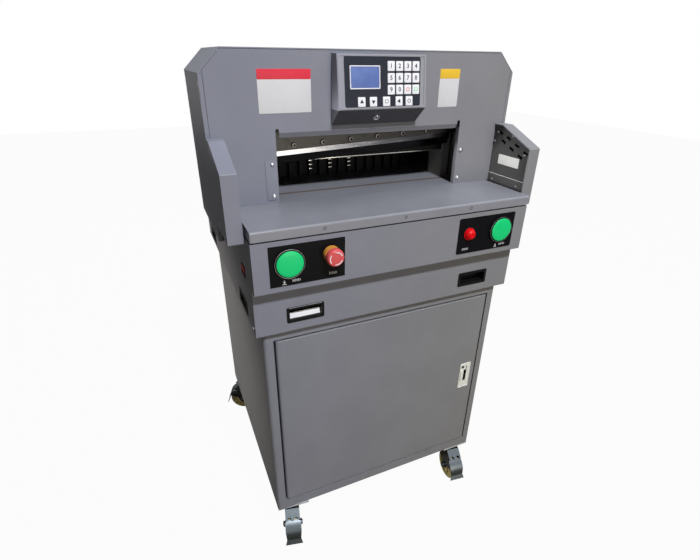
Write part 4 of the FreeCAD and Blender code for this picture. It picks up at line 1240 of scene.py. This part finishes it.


# Door latch, and the plate and the painted highlight on the lip of the left pull

latchSet = {
    "x": 0.275,
    "z": 0.457,
    "half": (0.019, 0.046),
    "rimInset": 0.0008,
    # painted slot shade, lever and barrel: off the latch's middle
    "grooveOff": (0.0040, 0.0285),
    "leverOff": (-0.0112, 0.002),
    "barrelOff": (-0.0095, 0.0345),
}
pullSet = {
    "x": -0.2360,
    "plateZ": 0.8010,
    "plateBack": 0.0095,
    "plateSlope": (0, 0.35, 0.94),
    "lipHalf": 0.0400,
}


def makeLatchDetails():
    # A raised rim, a thin strip of painted shade for the slot, a lever and a barrel with a sunk middle on the
    # latch's plate.
    wide, high = latchSet["half"]
    inset = latchSet["rimInset"]
    rim = frameRing(wide - inset, high - inset, 0.003, 0.0016, 0.0008, 0.0003)
    slotShade = slab(0.0015, 0.0090, 0.0014, 0.0003, 0.0001)
    lever = slab(0.0052, 0.0200, 0.0022, 0.0030, 0.0012)
    profile = [(0.0048, -0.0002), (0.0048, 0.0010), (0.0042, 0.0015), (0.0030, 0.0015), (0.0028, 0.0009),
               (0.00001, 0.0009)]
    barrel = turned(profile, 32)
    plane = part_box("door_latch")[0].y
    for name, part, off, finish, slotName in (
            ("latch_rim", rim, (0, 0), "latch", "light_plastic"),
            ("latch_groove", slotShade, latchSet["grooveOff"], "slotShade", "black_plastic"),
            ("latch_lever", lever, latchSet["leverOff"], "latch", "light_plastic"),
            ("latch_barrel", barrel, latchSet["barrelOff"], "zinc", "zinc_steel")):
        spot = onFace(part, "front", latchSet["x"] + off[0], latchSet["z"] + off[1], plane)
        makePiece(name, spot, finish, "door")


def makePullDetails():
    # A blank plate that leans back in the pull, and a painted highlight along the lip above it.
    p = pullSet
    low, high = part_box("front_pull_handles")
    plate = slab(0.0375, 0.0105, 0.0008, 0.0008, 0.0002)
    plate = placed(plate, (p["x"], low.y + p["plateBack"], p["plateZ"]), (1, 0, 0), p["plateSlope"])
    makePiece("pull_plate", plate, "keys")
    lip = printAndHighlightBar(p["lipHalf"], bendSet["halfHigh"])
    lip = onFace(lip, "front", p["x"], high.z - bendSet["underTop"], low.y)
    makePiece("pull_shine", lip, "bendHighlight")


makeLatchDetails()
makePullDetails()
print("latch and pull made")


# Casters: hexagon nuts on the axles and bolts through the plates

casterSet = {
    "wheelZ": 0.050,
    "nutStart": 0.0235,
    "nutAcross": 0.0150,
    "nutTall": 0.0056,
    "axleAcross": 0.0085,
    "axleBeyond": 0.0014,
    "plateZ": 0.141,
    "bolt": (0.0062, 0.0045, "hex", 0.0030),
    "boltReach": 0.036,
    # degrees that each plate is turned by
    "skews": {
        "front_left": -5.0,
        "front_right": 0.0,
        "rear_left": 0.0,
        "rear_right": 0.0,
    },
}


def axleNut():
    # A hexagon nut with a turned-down face, and the axle's end standing out of it.
    c = casterSet
    flat = polygonOutline(6, c["nutAcross"], 24)
    outlines = [flat, flat, roundOutline(c["nutAcross"] * 0.94), roundOutline(c["axleAcross"]),
                roundOutline(c["axleAcross"] - 0.0001)]
    lifts = [0.0, c["nutTall"] - 0.0008, c["nutTall"], c["nutTall"], c["nutTall"] + c["axleBeyond"]]
    return ringMesh(stackRings(outlines, lifts))


def makeCasterDetails():
    # The axle lies across the line from the swivel's axis to the wheel's middle, a nut on either end, and the
    # bolts stand in a square about the swivel's axis.
    c = casterSet
    nut = axleNut()
    head = screwHead(*c["bolt"])
    bolts = []
    for name, skew in c["skews"].items():
        swivel = Vector(jointOf("caster_" + name)["pos_m"])
        low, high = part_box("caster_wheel_" + name)
        centre = (low + high) / 2
        centre.z = c["wheelZ"]
        ahead = centre - swivel
        axle = Vector((-ahead.y, ahead.x, 0)).normalized()
        nuts = []
        for outward in (-axle, axle):
            across = Vector((0, 0, 1)).cross(outward)
            nuts.append(placed(nut, centre + outward * c["nutStart"], across, (0, 0, 1)))
        makePiece("caster_nuts_" + name, joined(nuts), "zinc", "caster_" + name)
        turn = Matrix.Rotation(math.radians(skew), 3, "Z")
        swivel.z = c["plateZ"]
        for x, y in ((-1, -1), (-1, 1), (1, -1), (1, 1)):
            spot = swivel + turn @ Vector((x, y, 0)) * c["boltReach"]
            bolts.append(placed(head, spot, (1, 0, 0), (0, -1, 0)))
    makePiece("caster_plate_bolts", joined(bolts), "zinc")


makeCasterDetails()
print("caster details made")
